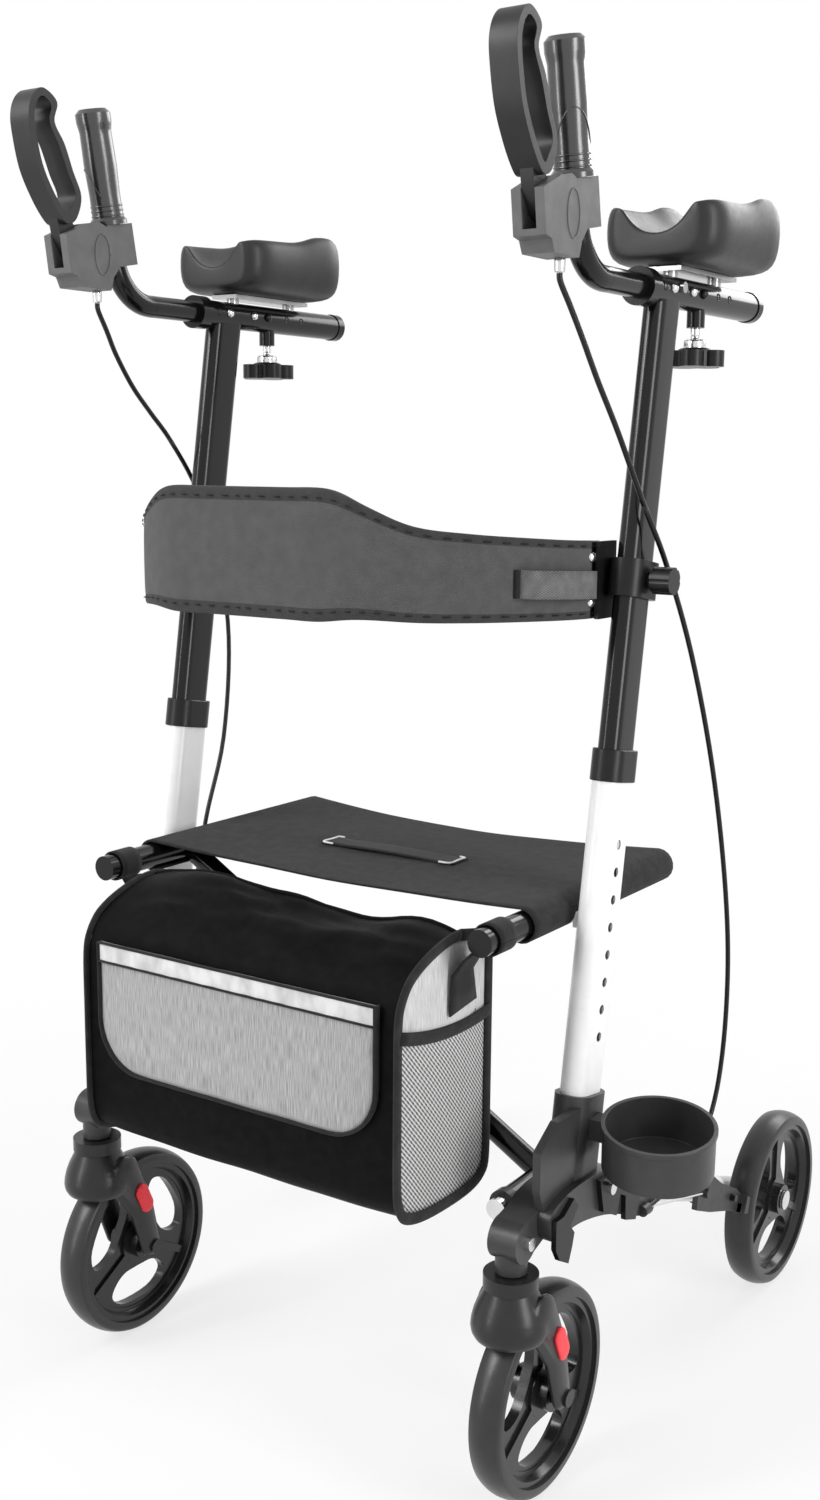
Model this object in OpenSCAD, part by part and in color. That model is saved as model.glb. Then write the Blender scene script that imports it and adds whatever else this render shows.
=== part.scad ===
// Upright walker with forearm supports: two side frames joined by a scissor fold, telescopic masts,
// forearm pads, brake handles, seat, bag, back strap and cup holder.
// Millimetres, +Z up, the front faces -Y, the user's left is +X. Origin: floor, centre of the four wheels.

/* [Wheels] */
// Outside diameter of every wheel
wheel_d = 200; // [180:5:220]
// Tread width
tyre_w = 32; // [26:1:36]
// Front axle to rear axle
wheelbase = 504; // [460:2:540]
// Front wheels inside the uprights
front_set = 5.5; // [0:0.5:10]
// Rear wheels outside the uprights
rear_set = 17; // [14:0.5:24]
// Caster stem ahead of the front axle
caster_trail = 52; // [44:1:58]
// Axle diameter, all wheels
axle_d = 10; // [8:1:12]

/* [Side frames] */
// Uprights outside the lower fold pivots
upright_set = 37; // [35:0.5:42]
// Rearward lean of the uprights in degrees
lean = 9.2; // [6:0.1:12]
// White outer tube, front to back
tube_l = 49; // [46:1:54]
// White outer tube, side to side
tube_w = 27; // [25:1:30]
// Black inner tube (mast), front to back
mast_l = 45; // [40:0.5:45]
// Black inner tube (mast), side to side
mast_w = 22; // [18:0.5:22]
// Diameter of the rear tube
rear_tube_d = 28; // [22:1:30]
// Spacing of the height holes
hole_pitch = 25.4; // [20:0.2:30]
// Number of height holes
hole_count = 8; // [4:1:8]
// Diameter of the snap button
button_d = 8; // [6:0.5:9]

/* [Handles] */
// Height of the handle tubes above the wheel tops
handle_rise = 896; // [880:0.5:920]
// Handle tube diameter
handle_d = 22; // [19:0.5:24]
// Sleeve diameter
sleeve_d = 28; // [26:1:32]
// Grip diameter
grip_d = 32; // [29:1:36]
// Forward lean of the grips in degrees
grip_lean = 10.7; // [4:0.1:16]
// Forearm pad length
pad_l = 160; // [150:1:190]
// Forearm pad width
pad_w = 118; // [90:1:124]
// Forearm pad height at its front corners
pad_h = 54; // [44:1:60]
// Width of the brake lever band
lever_w = 25; // [16:1:28]

/* [Fold and seat] */
// Height of the seat tubes above the wheel tops
seat_rise = 335; // [320:1:350]
// Height of the lower fold pivots above the wheel tops
fold_rise = 77; // [74:1:84]
// Half the distance between the lower pivots
fold_half = 223; // [220:0.5:226]
// Diameter of the seat tubes
seat_tube_d = 25; // [22:1:25]
// Diameter of the scissor tubes
brace_d = 22; // [18:1:22]
// Seat fabric, front to back
seat_l = 280; // [250:1:282]

/* [Bag] */
// Bag width
bag_w = 366; // [340:2:390]
// Bag depth, front to back
bag_l = 146; // [130:1:160]
// Bag height
bag_h = 230; // [190:1:234]

/* [Back strap] */
// Height of the padded middle
strap_h = 113; // [90:1:130]
// Height of the ends
strap_end_h = 70; // [50:1:74]
// Bow of the strap ahead of its ends
strap_bow = 220; // [150:1:240]

/* [Cup holder] */
// Outside diameter
cup_d = 102; // [90:1:108]
// Depth, outside
cup_h = 44; // [36:1:60]
// Tilt of the cup towards the front in degrees, half of it to the side
cup_tilt = 7; // [0:0.5:8]

/* [Hidden] */
$fn = 48;
// Clearances: moving faces, shafts in bores, pieces held in one body
gap = 0.3;
run = 0.08;
fit = 0.02;
wheel_r = wheel_d / 2;
upright_x = fold_half + upright_set;
front_x = upright_x - front_set;
rear_x = upright_x + rear_set;
// Heights below are measured from the wheel tops, lengths from the front axle
handle_z = handle_rise;
stem_y = -caster_trail;
stem_d = 16;
reflector_t = 2.5;
reflector_turn = 24;
cap_d = 50;
cap_top = 37;
crown_r = 35.5;
crown_low = -24;
leg_in = tyre_w / 2 + 3.5;
leg_t = 15;
// Knuckle at the front of the casting
knuckle_y = stem_y + 1;
knuckle_z = 68;
knuckle_r = 19;
knuckle_w = 29;
// Casting width and side faces
cast_w = 44;
cast_in = upright_x - cast_w / 2;
cast_out = upright_x + cast_w / 2;
clip_t = 5;
// Upright: a point on its axis, then distances along it
up_y = 46.3;
up_z = 100;
up_bottom = 45;
up_top = 375;
lug_top = 72;
lug_wall = 9;
collar_s = 360;
collar_h = 29.5;
mast_bottom = 262;
mast_top = (handle_z - up_z) / cos(lean) - 4;
mast_wall = 1.6;
hole_s = 303;
groove_deep = 1.4;
// Rear tube: from the axle to a point in the casting
rear_tube_x = rear_x - tyre_w / 2 - 4 - rear_tube_d / 2;
socket_y = 140;
socket_z = 39.7;
rear_slope = atan2(socket_z + wheel_r, wheelbase - socket_y);
rear_len = (wheelbase - socket_y) / cos(rear_slope);
socket_r = rear_tube_d / 2 + 5;
brake_at = wheel_r + 35;
brake_x = rear_x + 1;
shoe_gap = 2.5;
shoe_low = sqrt(pow(wheel_r + shoe_gap, 2) - 256);
// Handle: corner of the bend, sleeve ends
corner_y = 17;
bend_r = 50;
bend_angle = 90 - grip_lean;
bend_t = bend_r * tan(bend_angle / 2);
bend_step = 0.1;
sleeve_front = 134;
sleeve_rear = 369;
handle_rear = 330;
knob_y = 247;
knob_z = handle_z - 64;
stud_d = 8;
grip_from = 75;
grip_to = 182;
lever_y = -62;
lever_z = 42;
cheek_w = 30;
slot_w = 12.8;
lever_pin = 6;
pad_y = 237;
pad_z = handle_z + sleeve_d / 2 + 7.5;
// Back strap clamp
clamp_s = 545;
clamp_h = 34;
clamp_wall = 6;
clamp_y = up_y + clamp_s * sin(lean);
clamp_z = up_z + clamp_s * cos(lean);
clamp_knob_x = upright_x + mast_w / 2 + clamp_wall + 12;
strap_end_x = upright_x - mast_w / 2 - clamp_wall - 4;
strap_mid_z = 663;
// Fold: planes of the two scissor tubes and the pin
brace_a_y = 36;
brace_b_y = brace_a_y + brace_d + 4;
pin_d = 12;
ear_t = 10;
ear_front = -16;
ear_rear = 104;
fold_mid_z = (fold_rise + seat_rise) / 2;
brace_len = norm([2 * fold_half, seat_rise - fold_rise]);
brace_angle = atan2(seat_rise - fold_rise, 2 * fold_half);
bolt_d = 10;
seat_front = 6;
seat_tube_front = -63;
seat_tube_rear = seat_front + seat_l + 4;
hook_y0 = 78;
hook_y1 = 92;
hem_t = 3;
// Bag
bag_back = 18;
bag_bottom = 98;
bag_wall = 3;
mouth_front = -34;
bag_front = bag_back - bag_l;
flap_w = 326;
flap_top = bag_bottom + bag_h - 42;
flap_h = 122;
flap_r = 45;
flap_t = 4;
// Cup holder
cup_x = cast_out + cup_d / 2 + 4;
cup_y = 66;
cup_z = 113;
cup_wall = 2.4;
// Brake cables: hand-placed points on the left and on the right, X counted from the upright
cable_d = 5;
cable_stop = [25, 158, 24];
left_route = [
  [0, -16, 893.3], [0.4, -14.4, 886], [3, -2, 868], [7, 14, 842], [11, 34, 810], [16, 64, 768],
  [20, 110, 706], [23, 154, 651], [26, 209, 564], [30, 258, 451], [32, 295, 333], [33, 312, 233],
  [32, 310, 137], [30, 288, 72], [28, 236, 36], [26, 190, 26], cable_stop
];
right_route = [
  [0, -16, 893.3], [0.4, -14.4, 886], [2, -2, 868], [5, 14, 845], [10, 42, 815], [16, 74, 790],
  [20, 108, 762], [24, 152, 712], [28, 190, 640], [31, 212, 542], [31, 201, 427], [29, 166, 336],
  [28, 146, 250], [27, 148, 160], [27, 178, 84], [26, 194, 40], [25, 176, 25], cable_stop
];

// Placing
module base() {
  translate([0, -wheelbase / 2, wheel_d]) children();
}
module left() {
  base() children();
}
module right() {
  base() mirror([1, 0, 0]) children();
}
// A (y, z) outline drawn out along X, and an (x, z) outline drawn out along Y
module along_x(x0, x1) {
  translate([x0, 0, 0]) rotate([90, 0, 90]) linear_extrude(x1 - x0) children();
}
module along_y(y0, y1) {
  translate([0, y1, 0]) rotate([90, 0, 0]) linear_extrude(y1 - y0) children();
}
module rod_x(x0, x1, y, z, d) {
  translate([x0, y, z]) rotate([0, 90, 0]) cylinder(d = d, h = x1 - x0);
}
module rod_y(y0, y1, x, z, d) {
  translate([x, y0, z]) rotate([-90, 0, 0]) cylinder(d = d, h = y1 - y0);
}
module on_upright() {
  translate([upright_x, up_y, up_z]) rotate([-lean, 0, 0]) children();
}
module on_rear_tube() {
  translate([0, wheelbase, -wheel_r]) rotate([90 - rear_slope, 0, 0]) children();
}
// Outline in the rear tube's own plane: first number along the tube, second above it
module beside_rear_tube(x0, x1) {
  on_rear_tube() translate([x1, 0, 0]) rotate([0, -90, 0]) linear_extrude(x1 - x0) children();
}
module on_grip() {
  translate([upright_x, corner_y, handle_z]) rotate([grip_lean, 0, 0]) children();
}
module oval(l, w) {
  square([w, l - w], center = true);
  for (s = [-1, 1]) translate([0, s * (l - w) / 2]) circle(d = w);
}
// A closed skin through a list of rings with equal numbers of points
module skin(rings) {
  m = len(rings);
  n = len(rings[0]);
  points = [for (r = rings) each r];
  sides = [for (i = [0:m - 2], j = [0:n - 1], h = [0, 1]) let (a = i * n + j, b = i * n + (j + 1) % n)
    h == 0 ? [a, b, b + n] : [a, b + n, a + n]];
  first = [for (j = [n - 1:-1:0]) j];
  last = [for (j = [0:n - 1]) (m - 1) * n + j];
  polyhedron(points, concat(sides, [first, last]), convexity = 6);
}
function mixed(p, q, t) = p + (q - p) * t;
// A smooth curve through points
function curve_at(p0, p1, p2, p3, t) = 0.5 * (2 * p1 + (p2 - p0) * t
  + (2 * p0 - 5 * p1 + 4 * p2 - p3) * t * t + (3 * p1 - p0 - 3 * p2 + p3) * t * t * t);
function curve(p, steps) = concat([for (i = [0:len(p) - 2], k = [0:steps - 1])
  curve_at(p[max(i - 1, 0)], p[i], p[i + 1], p[min(i + 2, len(p) - 1)], k / steps)], [p[len(p) - 1]]);
// A smooth closed outline through points
function ring(p, steps) = let (n = len(p)) [for (i = [0:n - 1], k = [0:steps - 1])
  curve_at(p[(i + n - 1) % n], p[i], p[(i + 1) % n], p[(i + 2) % n], k / steps)];
function unit(v) = v / norm(v);
function ring_at(c, t, d, sides) = let (u = unit(cross([1, 0, 0], t)), w = unit(cross(t, u)))
  [for (k = [0:sides - 1]) c + d / 2 * (cos(360 * k / sides) * u + sin(360 * k / sides) * w)];
module cord(route, d) {
  p = curve(route, 5);
  m = len(p);
  skin([for (i = [0:m - 1]) ring_at(p[i], unit(p[min(i + 1, m - 1)] - p[max(i - 1, 0)]), d, 8)]);
}

// Side frames
module casting() {
  stop_x = upright_x + cable_stop[0];
  color("#2e2f31") difference() {
    union() {
      along_x(cast_in, cast_out) polygon(ring([
        [-30, 90], [0, 98], [44, 98], [78, 93], [110, 80], [146, 58], [178, 46], [180, 30], [176, 12],
        [148, 18], [112, 34], [70, 50], [28, 60], [0, 62], [-26, 62], [-33, 76]
      ], 4));
      // arm to the knuckle over the caster
      along_x(front_x - knuckle_w / 2, front_x + knuckle_w / 2) {
        translate([knuckle_y, knuckle_z]) circle(r = knuckle_r);
        polygon([
          [knuckle_y, knuckle_z + knuckle_r], [-10, 96], [10, 70], [-20, 60], [knuckle_y + 12, knuckle_z - 14]
        ]);
      }
      // fin ahead of the upright
      along_x(cast_out - 16, cast_out - 8)
        polygon([[30, 80], [-30, 88], [-38, 110], [-38, 147], [-8, 166], [40, 166]]);
      translate([front_x, stem_y, cap_top + 1.5]) cylinder(d = stem_d + 13, h = knuckle_z - cap_top);
      on_upright() translate([0, 0, -20])
        linear_extrude(lug_top + 20) oval(tube_l + lug_wall, tube_w + lug_wall);
      translate([rear_tube_x, 0, 0]) on_rear_tube()
        translate([0, 0, rear_len - 38]) cylinder(r = socket_r, h = 78);
      for (y = [ear_front, ear_rear]) along_y(y, y + ear_t) {
        translate([fold_half, fold_rise]) circle(r = pin_d / 2 + 8);
        translate([fold_half, fold_rise - 11]) square([cast_in - fold_half + 1, 22]);
      }
      // stop for the brake cable
      rod_y(cable_stop[1] - 12, cable_stop[1] - 0.2, stop_x, cable_stop[2], 11);
      translate([cast_out - 1, cable_stop[1] - 12, cable_stop[2] - 4]) cube([stop_x - cast_out + 1, 11, 8]);
    }
    on_upright() translate([0, 0, up_bottom])
      linear_extrude(lug_top) oval(tube_l + 2 * fit, tube_w + 2 * fit);
    translate([rear_tube_x, 0, 0]) on_rear_tube()
      translate([0, 0, rear_len - 60]) cylinder(d = rear_tube_d + 2 * fit, h = 90);
    translate([front_x, stem_y, cap_top]) cylinder(d = stem_d + 2 * run, h = 28);
    rod_y(ear_front - 1, ear_front + ear_t + 1, fold_half, fold_rise, pin_d + 2 * fit);
    rod_y(ear_rear - 1, ear_rear + ear_t + 1, fold_half, fold_rise, pin_d + 2 * fit);
  }
}
// Two-pronged plates on the casting and the brake bracket on the rear tube
module clips() {
  color("#121212") {
    along_x(cast_out, cast_out + clip_t) {
      polygon([[52, 92], [78, 88], [141, 54], [128, 24], [106, 32], [105, 57], [94, 63], [87, 44], [60, 58]]);
      polygon([
        [-30, 70], [-30, 84], [-16, 84], [2, 94], [10, 84], [-4, 70], [4, 61], [0, 48], [-6, 35],
        [-22, 44], [-30, 57]
      ]);
    }
    difference() {
      union() {
        translate([rear_tube_x, 0, 0]) on_rear_tube()
          translate([0, 0, brake_at - 9]) cylinder(d = rear_tube_d + 6, h = 18);
        on_rear_tube() translate([rear_tube_x, 0, brake_at]) rotate([0, 90, 0])
          cylinder(d = 8, h = brake_x + 9 - rear_tube_x);
        on_rear_tube() translate([rear_tube_x, 0, brake_at]) rotate([0, 90, 0])
          cylinder(d = 14, h = brake_x - 3 - gap - rear_tube_x);
      }
      translate([rear_tube_x, 0, 0]) on_rear_tube()
        translate([0, 0, brake_at - 10]) cylinder(d = rear_tube_d + 2 * fit, h = 20);
    }
  }
}
module bolts() {
  color("#c9ccd0") {
    rod_x(front_x + knuckle_w / 2, front_x + knuckle_w / 2 + 6, knuckle_y, knuckle_z, 12);
    rod_x(cast_out + clip_t, cast_out + clip_t + 6, 68, 80, 12);
    rod_y(ear_front - 6, ear_rear + ear_t + 4, fold_half, fold_rise, pin_d);
    rod_y(ear_front - 12, ear_front, fold_half, fold_rise, pin_d + 8);
    translate([0, wheelbase, -wheel_r]) {
      tube_in = rear_tube_x - rear_tube_d / 2;
      tyre_out = rear_x + tyre_w / 2;
      rod_x(tube_in - 3, tyre_out + 3, 0, 0, axle_d);
      rod_x(tube_in - 7, tube_in - 1, 0, 0, axle_d + 8);
      rod_x(tyre_out + 1, tyre_out + 4, 0, 0, axle_d + 12);
    }
  }
}
module upright() {
  color("#f2f2f0") {
    on_upright() difference() {
      translate([0, 0, up_bottom]) linear_extrude(up_top - up_bottom) oval(tube_l, tube_w);
      translate([0, 0, up_bottom - 1]) linear_extrude(up_top - up_bottom + 2)
        oval(mast_l + 2 * gap, mast_w + 2 * gap);
      translate([0, -button_d / 2 - 0.5, hole_s - (hole_count - 1) * hole_pitch - 6])
        cube([mast_w / 2 + gap + groove_deep, button_d + 1, (hole_count - 1) * hole_pitch + 12]);
      for (i = [0:hole_count - 1]) translate([0, 0, hole_s - i * hole_pitch])
        rotate([0, 90, 0]) cylinder(d = button_d + 1, h = tube_w);
    }
    // open hook that carries the seat tube
    along_y(hook_y0, hook_y1) {
      difference() {
        translate([fold_half, seat_rise]) circle(d = seat_tube_d + 2 * gap + 8);
        translate([fold_half, seat_rise]) circle(d = seat_tube_d + 2 * gap);
        translate([fold_half - 40, seat_rise - 1]) square([80, 40]);
      }
      translate([fold_half + seat_tube_d / 2 + gap + 1, seat_rise - 16])
        square([upright_x - tube_w / 2 + 1 - fold_half - seat_tube_d / 2 - gap - 1, 13]);
    }
  }
}
module collar() {
  color("#242527") on_upright() difference() {
    translate([0, 0, collar_s]) linear_extrude(collar_h) oval(tube_l + 4, tube_w + 5);
    translate([0, 0, collar_s - 1])
      linear_extrude(up_top - collar_s + 1) oval(tube_l + 2 * fit, tube_w + 2 * fit);
    translate([0, 0, collar_s]) linear_extrude(collar_h + 1) oval(mast_l + 2 * gap, mast_w + 2 * gap);
  }
}
module rear_tube() {
  color("#f2f2f0") difference() {
    translate([rear_tube_x, 0, 0]) on_rear_tube() difference() {
      translate([0, 0, -rear_tube_d / 2 - 2]) cylinder(d = rear_tube_d, h = rear_len + rear_tube_d / 2 + 30);
      translate([0, 0, 20]) cylinder(d = rear_tube_d - 4, h = rear_len + 20);
    }
    rod_x(rear_tube_x - rear_tube_d, rear_tube_x + rear_tube_d, wheelbase, -wheel_r, axle_d + 2 * fit);
  }
}
module cup() {
  lug_side = upright_x + (tube_w + lug_wall) / 2 + fit;
  color("#333436") difference() {
    union() {
      in_cup() {
        cylinder(d = cup_d, h = cup_h);
        translate([0, 0, cup_h - 4]) cylinder(d = cup_d + 3, h = 4);
      }
      translate([lug_side, cup_y - 23, cup_z + 20]) cube([cup_x - lug_side - 34, 20, 20]);
    }
    in_cup() {
      translate([0, 0, cup_wall]) cylinder(d = cup_d - 2 * cup_wall, h = cup_h);
      translate([0, 0, -1]) cylinder(d = 12, h = cup_h);
    }
  }
}
module in_cup() {
  translate([cup_x, cup_y, cup_z]) rotate([cup_tilt, cup_tilt / 2, 0]) children();
}

// Wheels
module lobe(x, y, z, r, t) {
  translate([x, y, z]) scale([t / r, 1, 1]) sphere(r = r, $fn = 24);
}
module fork() {
  color("#1c1c1d") translate([front_x, 0, 0]) {
    translate([0, stem_y, cap_top - 1]) cylinder(d = stem_d, h = 26);
    translate([0, stem_y, cap_top - 13]) cylinder(d = cap_d, h = 13);
    difference() {
      translate([0, stem_y, 0]) rotate_extrude($fn = 64) polygon([
        [0, crown_low], [crown_r - 7, crown_low], [crown_r - 3, crown_low + 2], [crown_r - 0.8, crown_low + 6],
        [crown_r, crown_low + 11], [crown_r - 0.6, crown_low + 17], [crown_r - 2.5, crown_low + 25],
        [crown_r - 5.5, crown_low + 33], [crown_r - 9, crown_low + 40], [crown_r - 12, crown_low + 46],
        [cap_d / 2 - 3, cap_top - 12], [0, cap_top - 12]
      ]);
      rod_x(-leg_in, leg_in, 0, -wheel_r, wheel_d + 8);
    }
    // legs from the crown down to the axle
    for (s = [-1, 1]) {
      hull() {
        lobe(s * (leg_in + leg_t / 2), -42, -4, 22, leg_t / 2);
        lobe(s * (leg_in + leg_t / 2), -17, -48, 16.5, leg_t / 2);
      }
      hull() {
        lobe(s * (leg_in + leg_t / 2), -17, -48, 16.5, leg_t / 2);
        lobe(s * (leg_in + 6.5), -2, 2 - wheel_r, 13.5, 6);
      }
    }
    rod_x(-leg_in - 15, leg_in + 15, 0, -wheel_r, axle_d);
    for (s = [-1, 1]) rod_x(s * (leg_in + 12) - 3, s * (leg_in + 12) + 3, 0, -wheel_r, axle_d + 6);
    for (s = [-1, 1]) rod_x(s * (leg_in + 2) - 1.8, s * (leg_in + 2) + 1.8, 0, -wheel_r, axle_d + 8);
  }
}
module reflector() {
  leg_out = leg_in + leg_t + fit;
  color("#b01818") for (s = [-1, 1])
    translate([front_x + s * (leg_out + reflector_t / 2) - reflector_t / 2, -19, -36])
      rotate([reflector_turn, 0, 0]) rotate([90, 0, 90]) linear_extrude(reflector_t) oval(36, 17);
}
module rim(x, hub_in, hub_out) {
  color("#262729") translate([x, 0, -wheel_r]) rotate([0, 90, 0]) difference() {
    union() {
      rotate_extrude($fn = 96) polygon([
        [wheel_r - 26, -6], [wheel_r - 22, -6], [wheel_r - 19, -tyre_w / 2 + 3],
        [wheel_r - 13, -tyre_w / 2 + 3], [wheel_r - 13, tyre_w / 2 - 3], [wheel_r - 19, tyre_w / 2 - 3],
        [wheel_r - 22, 6], [wheel_r - 26, 6]
      ]);
      translate([0, 0, -5]) linear_extrude(10) difference() {
        circle(r = wheel_r - 24, $fn = 96);
        for (a = [0, 120, 240]) rotate(a) window();
      }
      translate([0, 0, -hub_in]) cylinder(d = 34, h = hub_in + hub_out);
      translate([0, 0, -8]) cylinder(d = 50, h = 16);
      for (a = [60, 180, 300]) rotate(a) translate([12, -4, -8]) cube([wheel_r - 34, 8, 16]);
    }
    cylinder(d = axle_d + 2 * run, h = 200, center = true);
  }
}
module rear_rim() {
  translate([0, wheelbase, 0]) rim(rear_x, tyre_w / 2 + 2, tyre_w / 2);
}
function polar(r, a) = [r * cos(a), r * sin(a)];
module window() {
  out = wheel_r - 30;
  polygon(ring([
    polar(out - 3, -37), polar(out, -18), polar(out, 18), polar(out - 3, 37), polar(out - 17, 41),
    polar(38, 34), polar(31, 12), polar(31, -12), polar(38, -34), polar(out - 17, -41)
  ], 4));
}
module tyre(x) {
  color("#3a3b3d") translate([x, 0, -wheel_r]) rotate([0, 90, 0]) rotate_extrude($fn = 96) intersection() {
    translate([wheel_r - 13 + fit, -tyre_w / 2]) square([13 - fit, tyre_w]);
    translate([wheel_r - 30, 0]) circle(r = 30, $fn = 96);
    translate([wheel_r - 13, 0]) circle(r = tyre_w / 2 + 1.2, $fn = 96);
  }
}

// Masts and what they carry
module mast() {
  color("#161617") difference() {
    union() {
      on_upright() translate([0, 0, mast_bottom]) linear_extrude(mast_top - mast_bottom) oval(mast_l, mast_w);
      rod_y(sleeve_front, sleeve_rear, upright_x, handle_z, sleeve_d);
      rod_y(sleeve_front - 10, sleeve_front + 6, upright_x, handle_z, sleeve_d + 6);
      rod_y(sleeve_rear - 6, sleeve_rear + 4, upright_x, handle_z, sleeve_d + 2);
      translate([upright_x, knob_y, handle_z - sleeve_d / 2 - 14]) cylinder(d = stud_d + 9, h = 18);
    }
    on_upright() translate([0, 0, mast_bottom - 1]) linear_extrude(mast_top - mast_bottom - 44)
      oval(mast_l - 2 * mast_wall, mast_w - 2 * mast_wall);
    rod_y(sleeve_front - 11, sleeve_rear - 4, upright_x, handle_z, handle_d + 2 * run);
    translate([upright_x, knob_y, handle_z - sleeve_d / 2 - 15]) cylinder(d = stud_d + 2 * run, h = 20);
    on_upright() translate([0, 0, hole_s]) rotate([0, 90, 0]) cylinder(d = button_d + 2 * run, h = tube_w);
  }
}
// Bright plate and bolts under the pad, bolts on the strap ends
module fittings() {
  color("#c9ccd0") {
    translate([upright_x - 17, pad_y - 62, handle_z + sleeve_d / 2 + 3.5]) cube([34, 124, 4]);
    for (y = [pad_y - 48, pad_y + 48]) difference() {
      translate([upright_x, y, handle_z]) cylinder(d = 13, h = sleeve_d / 2 + 4);
      rod_y(y - 10, y + 10, upright_x, handle_z, sleeve_d + 2 * fit);
    }
    for (z = [-17, 17]) rod_x(strap_end_x - 5, strap_end_x, clamp_y - 8, clamp_z + z, 8);
    difference() {
      rod_x(upright_x, upright_x + sleeve_d / 2 + 3, 186, handle_z + 3, 10);
      rod_y(170, 200, upright_x, handle_z, sleeve_d + 2 * fit);
    }
  }
}
// Pad sections: half width and heights as shares, from the bottom edge round to the valley
pad_shape = [
  [0.42, 0], [0.72, 0.03], [0.9, 0.12], [0.98, 0.32], [1, 0.58], [0.98, 0.82], [0.93, 0.96],
  [0.85, 1], [0.76, 0.94], [0.62, 0.8], [0.46, 0.66], [0.24, 0.56], [0, 0.53]
];
pad_ends = [
  [0, 0.72], [0.012, 0.8], [0.035, 0.88], [0.07, 0.95], [0.12, 0.99], [0.18, 1], [0.35, 0.99], [0.5, 0.985],
  [0.64, 0.99], [0.82, 1], [0.89, 0.985], [0.94, 0.95], [0.975, 0.88], [0.99, 0.82], [1, 0.74]
];
pad_rise = [
  [0, 0.95], [0.05, 1], [0.3, 1.04], [0.48, 1.07], [0.58, 1.14], [0.68, 1.24], [0.8, 1.28], [0.88, 1.27],
  [0.95, 1.18], [1, 1.06]
];
pad_steps = [
  0, 0.012, 0.035, 0.07, 0.12, 0.18, 0.26, 0.35, 0.44, 0.53, 0.62, 0.7, 0.77, 0.83, 0.88, 0.93, 0.97, 0.99, 1
];
function pad_ring(t) = let (
    k = lookup(t, pad_ends),
    h = pad_h * lookup(t, pad_rise),
    v = pad_h * (0.43 + 0.2 * t),
    side = [for (p = pad_shape) [p[0] * k * pad_w / 2, (p[1] < 0.53 || p[0] > 0.7 ? p[1] * h
      : v + (p[1] - 0.53) / 0.47 * (h - v)) + 30 * (1 - p[1]) * (1 - k)]],
    n = len(side)
  ) concat([for (p = side) [p[0], pad_l * (t - 0.5), p[1]]],
    [for (i = [n - 2:-1:0]) [-side[i][0], pad_l * (t - 0.5), side[i][1]]]);
module pad() {
  color("#2b2b2c") translate([upright_x, pad_y, pad_z]) skin([for (e = pad_steps) pad_ring(e)]);
}
module clamp() {
  color("#1a1a1b") difference() {
    union() {
      on_upright() translate([0, 0, clamp_s - clamp_h / 2])
        linear_extrude(clamp_h) oval(mast_l + 2 * clamp_wall, mast_w + 2 * clamp_wall);
      translate([strap_end_x, clamp_y - 34, clamp_z - strap_end_h / 2]) cube([4.2, 32, strap_end_h]);
      rod_x(upright_x + mast_w / 2 + 2, upright_x + mast_w / 2 + clamp_wall + 4, clamp_y, clamp_z, 16);
    }
    on_upright() translate([0, 0, clamp_s - clamp_h]) linear_extrude(2 * clamp_h)
      oval(mast_l + 2 * fit, mast_w + 2 * fit);
    rod_x(upright_x + mast_w / 2 + 0.5, clamp_knob_x, clamp_y, clamp_z, 6 + 2 * run);
  }
}
module clamp_knob() {
  color("#1a1a1b") {
    rod_x(upright_x + mast_w / 2 + 1, clamp_knob_x + 1, clamp_y, clamp_z, 6);
    difference() {
      rod_x(clamp_knob_x - 7.5, clamp_knob_x + 12, clamp_y, clamp_z, 25);
      for (a = [0:60:300])
        rod_x(clamp_knob_x - 9, clamp_knob_x + 14, clamp_y + 15 * cos(a), clamp_z + 15 * sin(a), 7);
    }
  }
}
module button() {
  color("#c9ccd0") on_upright() {
    translate([mast_w / 2 - 4, 0, hole_s]) rotate([0, 90, 0]) cylinder(d = button_d, h = 4 + groove_deep);
    translate([mast_w / 2 - 4, 0, hole_s]) rotate([0, 90, 0]) cylinder(d = button_d + 4, h = 1.5);
  }
}
module back_strap() {
  half = curve([
    [0, -strap_bow, 0], [46, -strap_bow, 0], [88, -strap_bow + 2, 0.02], [122, -strap_bow + 14, 0.5],
    [152, -strap_bow + 38, 0.92], [184, -strap_bow + 80, 1], [210, -strap_bow + 130, 1],
    [228, -strap_bow + 178, 1], [strap_end_x - 3.05, 0, 1]
  ], 3);
  whole = concat([for (i = [len(half) - 1:-1:1]) [-half[i][0], half[i][1], half[i][2]]], half);
  m = len(whole);
  color("#19191a") base() translate([0, clamp_y - 17, 0]) skin([for (i = [0:m - 1]) let (
      p = whole[i],
      d = whole[min(i + 1, m - 1)] - whole[max(i - 1, 0)],
      across = unit([-d[1], d[0], 0]),
      h = mixed(strap_h, strap_end_h, p[2]) / 2,
      z = mixed(strap_mid_z, clamp_z, p[2]),
      t = mixed(7, 3, p[2])
    ) [for (q = [[-0.55, -1], [0.55, -1], [0.9, -0.92], [1, -0.7], [1, 0], [1, 0.7], [0.9, 0.92], [0.55, 1],
      [-0.55, 1], [-0.9, 0.92], [-1, 0.7], [-1, 0], [-1, -0.7], [-0.9, -0.92]])
      [p[0], p[1], z] + q[0] * t * across + [0, 0, q[1] * h]]]);
}

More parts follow.
